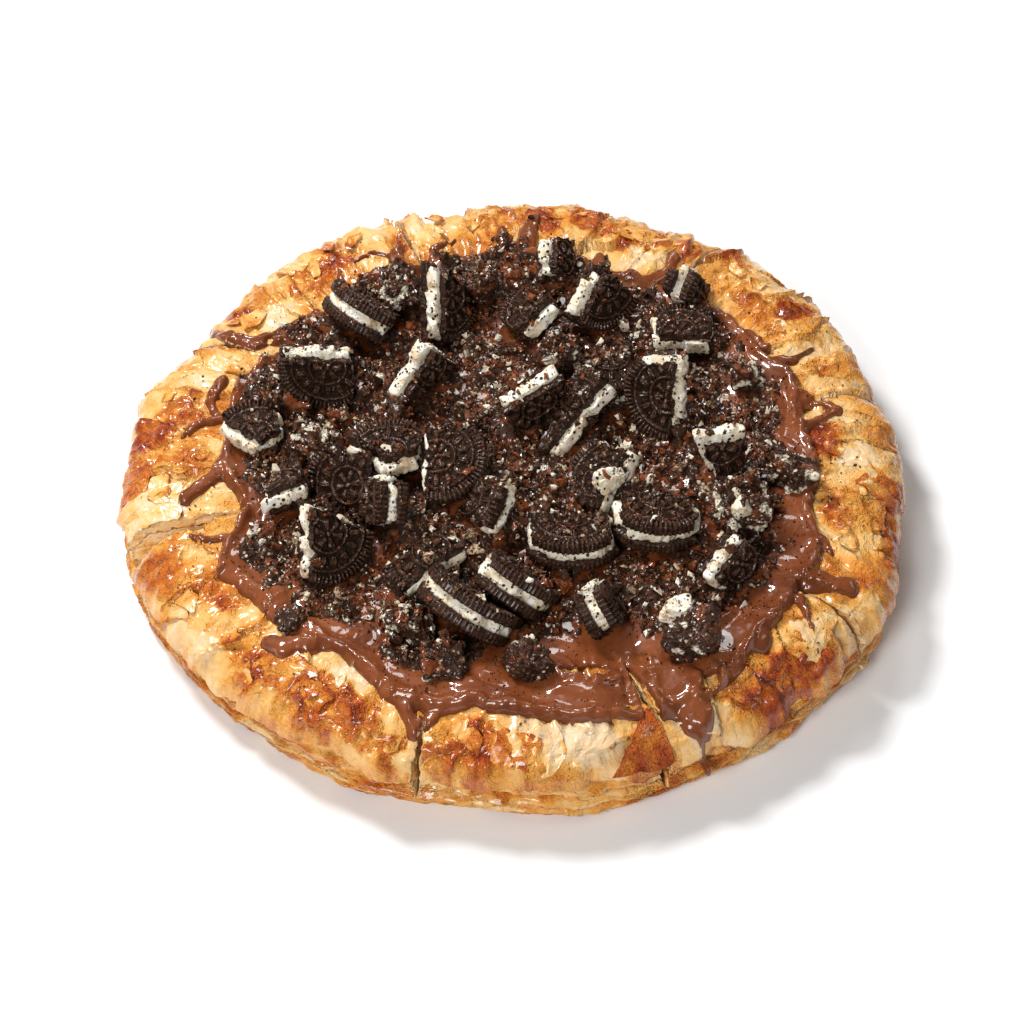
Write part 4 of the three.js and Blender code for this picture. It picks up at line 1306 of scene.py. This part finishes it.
def speck_cover(x, y):
    """Where loose specks lie on the bare rim and the shining spread."""
    angle, radius = np.arctan2(y, x), np.hypot(x, y)
    near = smooth(26, 2, -spread_depth(x, y)) * (radius < outline(angle) - 8)
    # More lie at the right, and a few at the left.
    side = 0.25 + 0.75 * smooth(0.3, 1, np.cos(angle + 0.15))
    side += 0.35 * smooth(0.6, 1, np.cos(angle - 3.0))
    return near * side * smooth(-0.25, 0.5, noise(on_floor(x, y), 17, 121)) ** 1.5


# ---- Materials -------------------------------------------------------------------------------

COCOA_TINT = (1, 0.78, 0.62, 1)  # of the sheen on dark cookie


def linear(red, green, blue):
    """A colour from its usual 0 to 255 numbers, as the shaders need it."""
    parts = [value / 255 for value in (red, green, blue)]
    parts = [p / 12.92 if p <= 0.04045 else ((p + 0.055) / 1.055) ** 2.4 for p in parts]
    return (*parts, 1.0)


def shade_of(colour, *parts):
    """A setting's colour with each of its channels multiplied."""
    if len(parts) == 1:
        parts *= 3
    return tuple(min(value * part, 1.0) for value, part in zip(colour, parts)) + (1.0,)


class Surface:
    """A material's nodes; texture sizes are in millimetres of the object."""

    def __init__(self, name, **constants):
        self.material = bpy.data.materials.new(name)
        self.material.use_nodes = True
        self.tree = self.material.node_tree
        self.shader = self.tree.nodes["Principled BSDF"]
        for socket, value in constants.items():
            self.shader.inputs[socket.replace("_", " ")].default_value = value
        coordinates = self.tree.nodes.new("ShaderNodeTexCoord")
        self.place = self.node("VectorMath", coordinates.outputs["Object"], (1 / MM,) * 3,
                               operation="MULTIPLY")

    def node(self, kind, *inputs, **settings):
        """Adds a node, fills its first inputs with links or values, and returns its output."""
        node = self.tree.nodes.new("ShaderNode" + kind)
        for setting, value in settings.items():
            setattr(node, setting, value)
        for socket, value in zip(node.inputs, inputs):
            self.feed(socket, value)
        return node.outputs[0]

    def feed(self, socket, value):
        """Links a node's output to a socket, or sets the socket's value."""
        if isinstance(value, bpy.types.NodeSocket):
            self.tree.links.new(value, socket)
        elif value is not None:
            socket.default_value = value

    def math(self, operation, *inputs):
        """Adds a math node."""
        return self.node("Math", *inputs, operation=operation)

    def times(self, first, second):
        """The product of two values."""
        return self.math("MULTIPLY", first, second)

    def moved(self, *way):
        """The place in the object, moved so that two textures differ."""
        return self.node("VectorMath", self.place, way, operation="ADD")

    def scale(self, value, low, high, new_low=0.0, new_high=1.0):
        """A soft step: low..high of the value becomes new_low..new_high."""
        return self.node("MapRange", value, low, high, new_low, new_high,
                         interpolation_type="SMOOTHSTEP")

    def noise(self, size, detail=3.0, distortion=0.0, stretch=None, seed=0.0):
        """Noise from 0 to 1 with features about `size` millimetres across."""
        node = self.tree.nodes.new("ShaderNodeTexNoise")
        node.noise_dimensions = "3D"
        place = self.moved(seed * 17.3, seed * 5.1, -seed * 9.7)
        if stretch:
            place = self.node("VectorMath", place, stretch, operation="MULTIPLY")
        self.tree.links.new(place, node.inputs["Vector"])
        node.inputs["Scale"].default_value = 1 / size
        node.inputs["Detail"].default_value = detail
        node.inputs["Distortion"].default_value = distortion
        return node.outputs[0]

    def cells(self, size, seed):
        """Distances to scattered points about `size` millimetres apart."""
        node = self.tree.nodes.new("ShaderNodeTexVoronoi")
        place = self.moved(seed * 11.3, seed * 3.7, seed * 7.9)
        self.tree.links.new(place, node.inputs["Vector"])
        node.inputs["Scale"].default_value = 1 / size
        return node.outputs[0]

    def flecks(self, size, seed, edge, patches, ends):
        """Round flecks, in the patches where a noise is high."""
        return self.times(self.scale(self.cells(size, seed), *edge), self.scale(patches, *ends))

    def kept(self, name):
        """A value that is kept with the mesh."""
        node = self.tree.nodes.new("ShaderNodeAttribute")
        node.attribute_name = name
        return node.outputs["Fac"]

    def ramp(self, value, *stops):
        """Colours along a value, each given as (position, colour)."""
        node = self.tree.nodes.new("ShaderNodeValToRGB")
        self.tree.links.new(value, node.inputs[0])
        elements = node.color_ramp.elements
        while len(elements) < len(stops):
            elements.new(0.5)
        for element, (position, colour) in zip(elements, stops):
            element.position = position
            element.color = colour
        return node.outputs[0]

    def mix(self, part, first, second, blend="MIX"):
        """Two colours mixed by a value."""
        node = self.tree.nodes.new("ShaderNodeMix")
        node.data_type = "RGBA"
        node.blend_type = blend
        self.feed(node.inputs[0], part)
        self.feed(node.inputs[6], first)
        self.feed(node.inputs[7], second)
        return node.outputs[2]

    def bump(self, *layers):
        """Stacks bumps, each given as (height from 0 to 1, depth in millimetres)."""
        normal = None
        for height, depth in layers:
            node = self.tree.nodes.new("ShaderNodeBump")
            node.inputs["Strength"].default_value = 1.0
            node.inputs["Distance"].default_value = depth * MM
            self.tree.links.new(height, node.inputs["Height"])
            if normal is not None:
                self.tree.links.new(normal, node.inputs["Normal"])
            normal = node.outputs["Normal"]
        self.tree.links.new(normal, self.shader.inputs["Normal"])

    def set(self, **sockets):
        """Feeds the shader and returns the finished material."""
        for socket, value in sockets.items():
            self.feed(self.shader.inputs[socket.replace("_", " ")], value)
        return self.material


def crust_material(name, settings):
    """Baked dough: pale and buttery where it is thin, golden to brown where it blistered."""
    look = Surface(name, Coat_Roughness=0.16, Coat_IOR=1.45, Specular_IOR_Level=0.2)
    broad = look.noise(13, 4, 0.4)
    fine = look.noise(2.4, 4, 0.8, seed=1)
    # Besides the browning, the bake value holds painted shade in the grooves between the layers of
    # the side.
    kept = look.kept("bake")
    baked = look.math("ADD", kept, look.scale(broad, 0.25, 0.75, -0.11, 0.11))
    baked = look.math("ADD", baked, look.scale(fine, 0.25, 0.75, -0.035, 0.035))
    layered = look.noise(3.4, 2, 0.3, (0.12, 0.12, 1.6), 11)
    lines = look.times(look.scale(layered, 0.35, 0.65, -0.16, 0.16), look.kept("side"))
    baked = look.math("ADD", baked, lines)
    stop = look.node("MapRange", baked, -0.7, 1.3, 0.0, 1.0)
    colour = look.ramp(
        stop,
        (0.08, shade_of(settings.pale, 1.0, 1.04, 1.17)),
        (0.26, shade_of(settings.pale, 1.0, 0.92, 0.84)),
        (0.38, shade_of(settings.golden, 1.03, 1.44, 3.2)),
        (0.50, shade_of(settings.golden, 1)),
        (0.62, shade_of(settings.golden, 0.83, 0.54, 0.36)),
        (0.76, shade_of(settings.brown, 2.0, 2.33, 1.67)),
        (0.90, shade_of(settings.brown, 1)),
        (1.00, shade_of(settings.brown, 0.49, 0.59, 1)),
    )
    yellow = look.scale(look.noise(18, 2, seed=4), 0.5, 0.68)
    colour = look.mix(look.times(yellow, 0.5), colour, linear(244, 206, 130), "MULTIPLY")
    wrinkles = look.noise(2.1, 3, 1.6, seed=8)
    ridges = look.math("ABSOLUTE", look.math("SUBTRACT", look.noise(2.8, 2, 1.2, seed=10), 0.5))
    strata = look.times(layered, look.kept("side"))
    rise = look.scale(kept, 0.0, 0.5, 0.15, 1.0)
    look.bump(
        (look.noise(5, 2, 0.8, seed=7), 1.7),
        (look.times(ridges, rise), -2.6),
        (look.times(wrinkles, rise), 1.2),
        (strata, 1.5),
    )
    oil = look.scale(look.noise(8, 2, seed=9), 0.35, 0.65, 0.4, 1.0)
    return look.set(
        Base_Color=colour,
        Roughness=look.scale(fine, 0.3, 0.7, 0.32, 0.52),
        Coat_Weight=oil,
    )


def chocolate_material(name, settings):
    """Poured hazelnut chocolate: smooth, oily and thick, with painted shade along its outline."""
    look = Surface(name, Coat_Roughness=0.05, Coat_IOR=1.5, Specular_IOR_Level=0.15)
    broad = look.noise(26, 3, 0.3)
    colour = look.ramp(
        broad,
        (0.3, shade_of(settings.colour, 0.66, 0.6, 0.55)),
        (0.5, shade_of(settings.colour, 1)),
        (0.7, shade_of(settings.colour, 1.26, 1.34, 1.33)),
    )
    # Painted shade: the spread is darkened along its outline, at the foot of its rounded edge.
    thin = look.scale(look.kept("depth"), 1.6, 0.1)
    colour = look.mix(look.times(thin, 0.5), colour, linear(92, 44, 20))
    inner = look.scale(look.kept("depth"), 9, 26)
    warm = look.scale(look.noise(8, 3, 0.6, seed=3), 0.38, 0.6)
    colour = look.mix(look.times(inner, warm), colour, linear(86, 40, 18))
    specks = look.flecks(2.4, 2, (0.15, 0.09), look.noise(8, 2, seed=5), (0.48, 0.6))
    colour = look.mix(specks, colour, linear(30, 18, 13))
    look.bump(
        (look.noise(9, 2, 0.5, seed=7), 1.3),
        (look.noise(2.6, 1, 0.4, seed=8), 0.1),
        (specks, 0.25),
    )
    return look.set(
        Base_Color=colour,
        Roughness=look.scale(look.noise(6, 2, seed=9), 0.3, 0.7, 0.28, 0.42),
        Coat_Weight=look.scale(look.noise(5, 2, seed=10), 0.3, 0.7, 0.6, 1.0),
    )


def cookie_material(name, settings):
    """Dark cocoa cookie: matt, grainy, dusted with pale crumbs; painted shade in its recesses,
    painted glints.
    """
    look = Surface(name, Coat_Roughness=0.2, Specular_IOR_Level=0.22, Specular_Tint=COCOA_TINT)
    grain = look.noise(1.2, 4, 0.3)
    # The lightest stop makes lighter flecks of cocoa, and these flecks are also painted glints.
    colour = look.ramp(
        grain,
        (0.3, shade_of(settings.dark, 0.38)),
        (0.52, shade_of(settings.dark, 1)),
        (0.68, shade_of(settings.dark, 3.4, 3.7, 3.7)),
    )
    broad = look.scale(look.noise(9, 3, seed=2), 0.45, 0.68)
    colour = look.mix(look.times(broad, 0.5), colour, linear(88, 54, 37))
    relief = look.scale(look.kept("relief"), 0.1, 1.0)
    # Painted shade: the recesses of the baked pattern and the gaps between the rim's teeth are
    # darkened nearly to black.
    colour = look.mix(relief, look.mix(0.8, colour, linear(12, 6, 4)), colour)
    dust = look.flecks(1.6, 3, (0.24, 0.14), look.noise(5, 2, seed=4), (0.48, 0.58))
    colour = look.mix(look.times(dust, 0.6), colour, linear(168, 146, 118))
    look.bump((look.noise(2.4, 2, 0.4, seed=5), 1.1), (grain, 1.2))
    sheen = look.scale(look.noise(6, 2, seed=8), 0.36, 0.6, 0.15, 0.9)
    return look.set(
        Base_Color=colour,
        Roughness=look.scale(look.noise(3, 2, seed=7), 0.3, 0.7, 0.45, 0.7),
        Coat_Weight=look.times(sheen, relief),
    )


def cream_material(name, settings):
    """Firm sugar cream with dark crumbs pressed into it."""
    look = Surface(name, Specular_IOR_Level=0.3)
    broad = look.noise(5, 3, 0.3)
    colour = look.ramp(
        broad,
        (0.3, shade_of(settings.cream, 0.7, 0.6, 0.44)),
        (0.5, shade_of(settings.cream, 0.91, 0.86, 0.77)),
        (0.65, shade_of(settings.cream, 1)),
    )
    large = look.flecks(2.4, 2, (0.34, 0.25), look.noise(4, 2, seed=3), (0.44, 0.53))
    small = look.flecks(1.1, 8, (0.24, 0.16), look.noise(3, 2, seed=9), (0.46, 0.55))
    specks = look.math("MAXIMUM", large, small)
    smear = look.scale(look.noise(5, 4, 0.8, seed=4), 0.56, 0.68)
    colour = look.mix(look.times(smear, 0.65), colour, linear(186, 138, 84))
    colour = look.mix(specks, colour, linear(50, 31, 22))
    look.bump((look.noise(3, 3, 0.5, seed=5), 0.7), (specks, 0.3))
    return look.set(Base_Color=colour, Roughness=look.scale(broad, 0.3, 0.7, 0.42, 0.6))


def crumb_material(name, settings):
    """Crushed cookie: every grain its own tone, wet with chocolate or dusted with cream."""
    look = Surface(name, Coat_Roughness=0.14, Specular_IOR_Level=0.2, Specular_Tint=COCOA_TINT)
    grain = look.noise(1.3, 3, 0.3)
    tone = look.math("ADD", look.kept("tone"), look.scale(grain, 0.3, 0.7, -0.12, 0.12))
    colour = look.ramp(
        tone,
        (0.0, shade_of(settings.wet, 1.49, 1.56, 1.37)),
        (0.22, shade_of(settings.wet, 1)),
        (0.36, shade_of(settings.wet, 0.39, 0.53, 0.78)),
        (0.52, shade_of(settings.dark, 1)),
        (0.78, shade_of(settings.dark, 1.7, 1.85, 1.8)),
        (0.91, shade_of(settings.dark, 4.6, 5.0, 4.6)),
        (1.0, linear(190, 166, 134)),
    )
    pale = look.flecks(2.6, 3, (0.3, 0.2), look.noise(6, 3, seed=4), (0.52, 0.6))
    colour = look.mix(look.times(pale, 0.9), colour, linear(222, 204, 174))
    cream = look.times(look.kept("cream"), look.scale(grain, 0.35, 0.5))
    colour = look.mix(cream, colour, linear(232, 222, 198))
    look.bump((look.noise(1.7, 3, 0.5, seed=5), 1.0))
    wet = look.scale(tone, 0.45, 0.2)
    shine = look.scale(look.noise(4, 2, seed=9), 0.45, 0.62, 0.1, 0.9)
    return look.set(
        Base_Color=colour,
        Roughness=look.scale(look.noise(2.2, 2, seed=7), 0.3, 0.7, 0.42, 0.7),
        Coat_Weight=look.math("MAXIMUM", wet, shine),
    )


# ---- Floor, light and camera -----------------------------------------------------------------

# Here, places and sizes are in metres.
FLOOR_HALF = 3.0
LIGHTS_AIM = (0, 0, 0.03)
CAMERA_PLACE = (-0.0024, -0.6487, 0.7378)
CAMERA_AIM = (-0.0024, -0.0157, 0.016)


def aimed(piece, place, aim):
    """Puts a light or camera in its place, and turns it to what it looks at."""
    piece.location = place
    piece.rotation_euler = (Vector(aim) - Vector(place)).to_track_quat("-Z", "Y").to_euler()
    bpy.context.scene.collection.objects.link(piece)


def floor():
    """A wide sheet of nearly white paper."""
    bm = bmesh.new()
    bmesh.ops.create_grid(bm, x_segments=2, y_segments=2, size=FLOOR_HALF)
    mesh = mesh_from(bm, "floor")
    look = Surface("floor_paper", Specular_IOR_Level=0.2)
    tone = look.mix(look.noise(400, 2), (0.93, 0.93, 0.93, 1), (0.96, 0.96, 0.955, 1))
    roughness = look.scale(look.noise(3), 0.3, 0.7, 0.7, 0.8)
    mesh.materials.append(look.set(Base_Color=tone, Roughness=roughness))
    piece = bpy.data.objects.new("floor", mesh)
    bpy.context.scene.collection.objects.link(piece)


def soft_light(name, place, size, power):
    """A white disk of light."""
    light = bpy.data.lights.new(name, "AREA")
    light.shape = "DISK"
    light.size = size
    light.energy = power
    aimed(bpy.data.objects.new(name, light), place, LIGHTS_AIM)


def studio(scene, settings):
    """The floor, four lights, an even light all round, and the photo's camera."""
    floor()
    soft_light("key", (-0.5, 0.42, 0.95), 0.3, settings.key)
    soft_light("back", (0.08, 0.8, 0.88), 0.3, 2.2)
    soft_light("front", (-0.4, -0.9, 0.85), 0.45, settings.fill)
    soft_light("side", (0.95, -0.1, 0.8), 0.4, 1.2)
    world = bpy.data.worlds.new("studio")
    world.use_nodes = True
    sky = world.node_tree.nodes["Background"].inputs
    sky["Color"].default_value = (1, 1, 1, 1)
    sky["Strength"].default_value = settings.sky
    scene.world = world
    camera = bpy.data.objects.new("camera", bpy.data.cameras.new("camera"))
    camera.data.lens = settings.lens
    camera.data.sensor_width = 36
    camera.data.clip_start = 0.01
    aimed(camera, CAMERA_PLACE, CAMERA_AIM)
    scene.camera = camera
    scene.view_settings.view_transform = "Standard"


# ---- Settings --------------------------------------------------------------------------------


def colour_setting(name, description, red, green, blue):
    """A colour, with its default in the usual 0 to 255 numbers."""
    return FloatVectorProperty(name=name, description=description, subtype="COLOR", size=3,
                               min=0, max=1, default=linear(red, green, blue)[:3])


class FeteerPastrySettings(bpy.types.PropertyGroup):
    """The baked dough."""

    pale: colour_setting("Pale dough", "Colour where the crust is barely baked", 232, 206, 166)
    golden: colour_setting("Golden crust", "Colour of the well baked crust", 230, 158, 66)
    brown: colour_setting("Browned crust", "Colour of the darkest blisters", 128, 48, 14)
    relief: FloatProperty(
        name="Relief", description="Depth of the wrinkles and blisters of the top crust",
        default=1.2 * MM, min=0, max=3 * MM, precision=4, unit="LENGTH")
    scraps: IntProperty(
        name="Torn sheets", description="How many small torn sheets lie round the rim",
        default=96, min=0, max=300)


class FeteerSpreadSettings(bpy.types.PropertyGroup):
    """The chocolate spread."""

    colour: colour_setting("Chocolate", "Colour of the thick spread", 126, 66, 34)
    thickness: FloatProperty(
        name="Thickness", description="Greatest height of the rounded edge of the spread",
        default=4.4 * MM, min=1 * MM, max=8 * MM, precision=4, unit="LENGTH")


class FeteerCookieSettings(bpy.types.PropertyGroup):
    """The broken sandwich cookies and their filling."""

    dark: colour_setting("Cookie", "Colour of the dark wafers", 66, 40, 28)
    cream: colour_setting("Cream", "Colour of the filling", 250, 244, 230)
    pattern: FloatProperty(
        name="Pattern depth", description="Depth of the pattern baked into the wafers",
        default=1.15 * MM, min=0, max=2 * MM, precision=5, unit="LENGTH")


class FeteerCrumbSettings(bpy.types.PropertyGroup):
    """The loose crumbs."""

    dark: colour_setting("Dry crumbs", "Colour of the dry crushed cookie", 45, 25, 16)
    wet: colour_setting("Coated crumbs", "Colour of the crumbs that the spread coats", 116, 58, 28)
    large: IntProperty(
        name="Large", description="How many large crumbs", default=430, min=0, max=600)
    medium: IntProperty(
        name="Medium", description="How many middling crumbs", default=2600, min=0, max=3200)
    fine: IntProperty(
        name="Fine", description="How many fine crumbs", default=12500, min=0, max=18000)
    cream: IntProperty(
        name="Cream", description="How many bits of cream", default=760, min=0, max=1500)
    specks: IntProperty(
        name="Specks", description="How many specks on the rim", default=1600, min=0, max=4000)
    seed: IntProperty(
        name="Seed", description="Another number strews the crumbs another way", default=5, min=0)


class FeteerStudioSettings(bpy.types.PropertyGroup):
    """The floor, the light and the camera."""

    key: FloatProperty(
        name="Key light", description="Power of the main light, from the back left",
        default=12.5, min=0, max=200, unit="POWER")
    fill: FloatProperty(
        name="Front light", description="Power of the wide light from the front",
        default=9.5, min=0, max=200, unit="POWER")
    sky: FloatProperty(
        name="Ambient light", description="Strength of the even light all round",
        default=0.12, min=0, max=2)
    lens: FloatProperty(
        name="Focal length", description="Focal length of the camera",
        default=83.28, min=20, max=300, unit="CAMERA")


class FeteerSettings(bpy.types.PropertyGroup):
    """All settings, kept with the scene."""

    pastry: PointerProperty(type=FeteerPastrySettings)
    spread: PointerProperty(type=FeteerSpreadSettings)
    cookies: PointerProperty(type=FeteerCookieSettings)
    crumbs: PointerProperty(type=FeteerCrumbSettings)
    studio: PointerProperty(type=FeteerStudioSettings)


# ---- Operators -------------------------------------------------------------------------------


def shared(name, make, settings):
    """A material that several pieces share: the one with that name, or a new one."""
    return bpy.data.materials.get(name) or make(name, settings)


def tops(*starts):
    """The names of the pieces that crumbs can lie on."""
    return [piece.name for piece in bpy.data.objects if piece.name.startswith(starts)]


class FETEER_OT_pastry(bpy.types.Operator):
    """Adds the pastry: the top crust, the layers of its side, and torn sheets of crust"""

    bl_idname = "feteer.pastry"
    bl_label = "Pastry"

    def execute(self, context):
        settings = context.scene.feteer.pastry
        look = shared("baked_dough", crust_material, settings)
        for name, (mesh, shade) in (("pastry_crust", top_sheet(settings.relief / MM)),
                                    ("pastry_layers", side_layers())):
            store(mesh, "bake", shade)
            mesh = without(mesh, [cut_blade(*row) for row in CUTS])
            bake_cuts(mesh, name == "pastry_layers")
            finished(mesh, name, look, ("pastry",))
        finished(scraps(settings.scraps), "pastry_scraps", look, ("pastry",), sharp=50)
        return {"FINISHED"}


class FETEER_OT_spread(bpy.types.Operator):
    """Adds the chocolate spread on the pastry"""

    bl_idname = "feteer.spread"
    bl_label = "Chocolate spread"

    def execute(self, context):
        settings = context.scene.feteer.spread
        look = shared("chocolate_spread_look", chocolate_material, settings)
        mesh = spread(settings.thickness / MM)
        finished(mesh, "chocolate_spread", look, ("chocolate",))
        return {"FINISHED"}


class FETEER_OT_cookies(bpy.types.Operator):
    """Adds the broken sandwich cookies"""

    bl_idname = "feteer.cookies"
    bl_label = "Broken cookies"

    def execute(self, context):
        settings = context.scene.feteer.cookies
        dark = shared("dark_cookie", cookie_material, settings)
        cream = shared("white_cream", cream_material, settings)
        for number, row in enumerate(COOKIES, 1):
            broken_cookie(number, row, settings.pattern / MM, dark, cream)
        return {"FINISHED"}


class FETEER_OT_lumps(bpy.types.Operator):
    """Adds the lumps of crushed cookie"""

    bl_idname = "feteer.lumps"
    bl_label = "Lumps"

    def execute(self, context):
        look = shared("crushed_cookie", crumb_material, context.scene.feteer.crumbs)
        for number, row in enumerate(LUMPS, 1):
            lump(number, row, CREAMY_LUMPS.get(number, A_LITTLE_CREAM), look)
        return {"FINISHED"}


class FETEER_OT_cream(bpy.types.Operator):
    """Adds the loose pieces of cream"""

    bl_idname = "feteer.cream"
    bl_label = "Pieces of cream"

    def execute(self, context):
        look = shared("white_cream", cream_material, context.scene.feteer.cookies)
        for number, row in enumerate(CREAM_PIECES, 1):
            cream_piece(number, row, look)
        return {"FINISHED"}


class FETEER_OT_crumbs(bpy.types.Operator):
    """Adds the crumbs between and on the cookies, and the specks on the rim"""

    bl_idname = "feteer.crumbs"
    bl_label = "Crumbs"

    def execute(self, context):
        settings = context.scene.feteer.crumbs
        dark = shared("crushed_cookie", crumb_material, settings)
        cream = shared("white_cream", cream_material, context.scene.feteer.cookies)
        finished(crumb_bed(), "crumb_bed", dark)
        below = tops("pastry_crust", "pastry_scraps", "chocolate_spread", "crumb_bed", "crumbly_")
        ground = HeightMap(below, FINE_MAP_STEP)
        bare = ground.heights.copy()
        graph = context.evaluated_depsgraph_get()
        for name in tops("broken_", "filling_", "cream_piece"):
            ground.lay(bpy.data.objects[name], graph)
        cookies = HeightMap([], FINE_MAP_STEP)
        cookies.heights = ground.heights - bare
        random = np.random.default_rng(settings.seed)

        def among(x, y):
            """Crumbs lie among the cookies, and fewer of them on the cookies."""
            return np.clip(crumb_cover(x, y), 0, 1) * np.where(cookies.at(x, y) > 1.5, 0.25, 1.0)

        def fine_among(x, y):
            """The fine crumbs also lie on the bare spread."""
            cover = np.maximum(np.clip(crumb_cover(x, y), 0, 1), thin_cover(x, y))
            return cover * np.where(cookies.at(x, y) > 1.5, 0.5, 1.0)

        # Name, corners of a grain, cuts in its edges, count, sizes, where it lies and so on.
        for name, corners, cuts, count, sizes, cover, piled, look, slot in (
                ("crumbs_large", 12, 3, settings.large, (1.5, 4.2), among, True, dark, "cookie"),
                ("crumbs_cream", 9, 1, settings.cream, (0.45, 2.6), among, True, cream, "cream"),
                ("crumbs_medium", 9, 1, settings.medium, (0.7, 1.8), among, True, dark, "cookie"),
                ("crumbs_fine", 7, 0, settings.fine, (0.28, 0.85), fine_among, False, dark,
                 "cookie"),
                ("specks_on_rim", 7, 0, settings.specks, (0.22, 0.9), speck_cover, False, dark,
                 "cookie")):
            if count:
                places, radii = strewn(count, *sizes, cover, ground, random, piled)
                mesh = scattered(grain_shapes(corners, cuts, 9, 0.3, count), places, radii, random)
                finished(mesh, name, look, sharp=35)
        return {"FINISHED"}


class FETEER_OT_studio(bpy.types.Operator):
    """Adds the floor, the lights and the camera"""

    bl_idname = "feteer.studio"
    bl_label = "Studio"

    def execute(self, context):
        studio(context.scene, context.scene.feteer.studio)
        return {"FINISHED"}


class FETEER_PT_panel(bpy.types.Panel):
    """Lists the pieces of the pastry and their settings"""

    bl_idname = "FETEER_PT_panel"
    bl_label = "Sweet Feteer"
    bl_space_type = "VIEW_3D"
    bl_region_type = "UI"
    bl_category = "Feteer"

    def draw(self, context):
        settings = context.scene.feteer
        for group, names, operators in (
                (settings.pastry, ("pale", "golden", "brown", "relief", "scraps"), ("pastry",)),
                (settings.spread, ("colour", "thickness"), ("spread",)),
                (settings.cookies, ("dark", "cream", "pattern"), ("cookies", "cream")),
                (settings.crumbs,
                 ("dark", "wet", "large", "medium", "fine", "cream", "specks", "seed"),
                 ("lumps", "crumbs")),
                (settings.studio, ("key", "fill", "sky", "lens"), ("studio",))):
            box = self.layout.box()
            for name in names:
                box.prop(group, name)
            for operator in operators:
                box.operator("feteer." + operator)


CLASSES = (
    FeteerPastrySettings, FeteerSpreadSettings, FeteerCookieSettings, FeteerCrumbSettings,
    FeteerStudioSettings, FeteerSettings, FETEER_OT_pastry, FETEER_OT_spread, FETEER_OT_cookies,
    FETEER_OT_lumps, FETEER_OT_cream, FETEER_OT_crumbs, FETEER_OT_studio, FETEER_PT_panel,
)


def register():
    for each in CLASSES:
        bpy.utils.register_class(each)
    bpy.types.Scene.feteer = PointerProperty(type=FeteerSettings)


def unregister():
    del bpy.types.Scene.feteer
    for each in reversed(CLASSES):
        bpy.utils.unregister_class(each)


def main():
    register()
    bpy.ops.feteer.pastry()
    bpy.ops.feteer.spread()
    bpy.ops.feteer.cookies()
    bpy.ops.feteer.lumps()
    bpy.ops.feteer.cream()
    bpy.ops.feteer.crumbs()
    bpy.ops.feteer.studio()


if __name__ == "__main__":
    main()
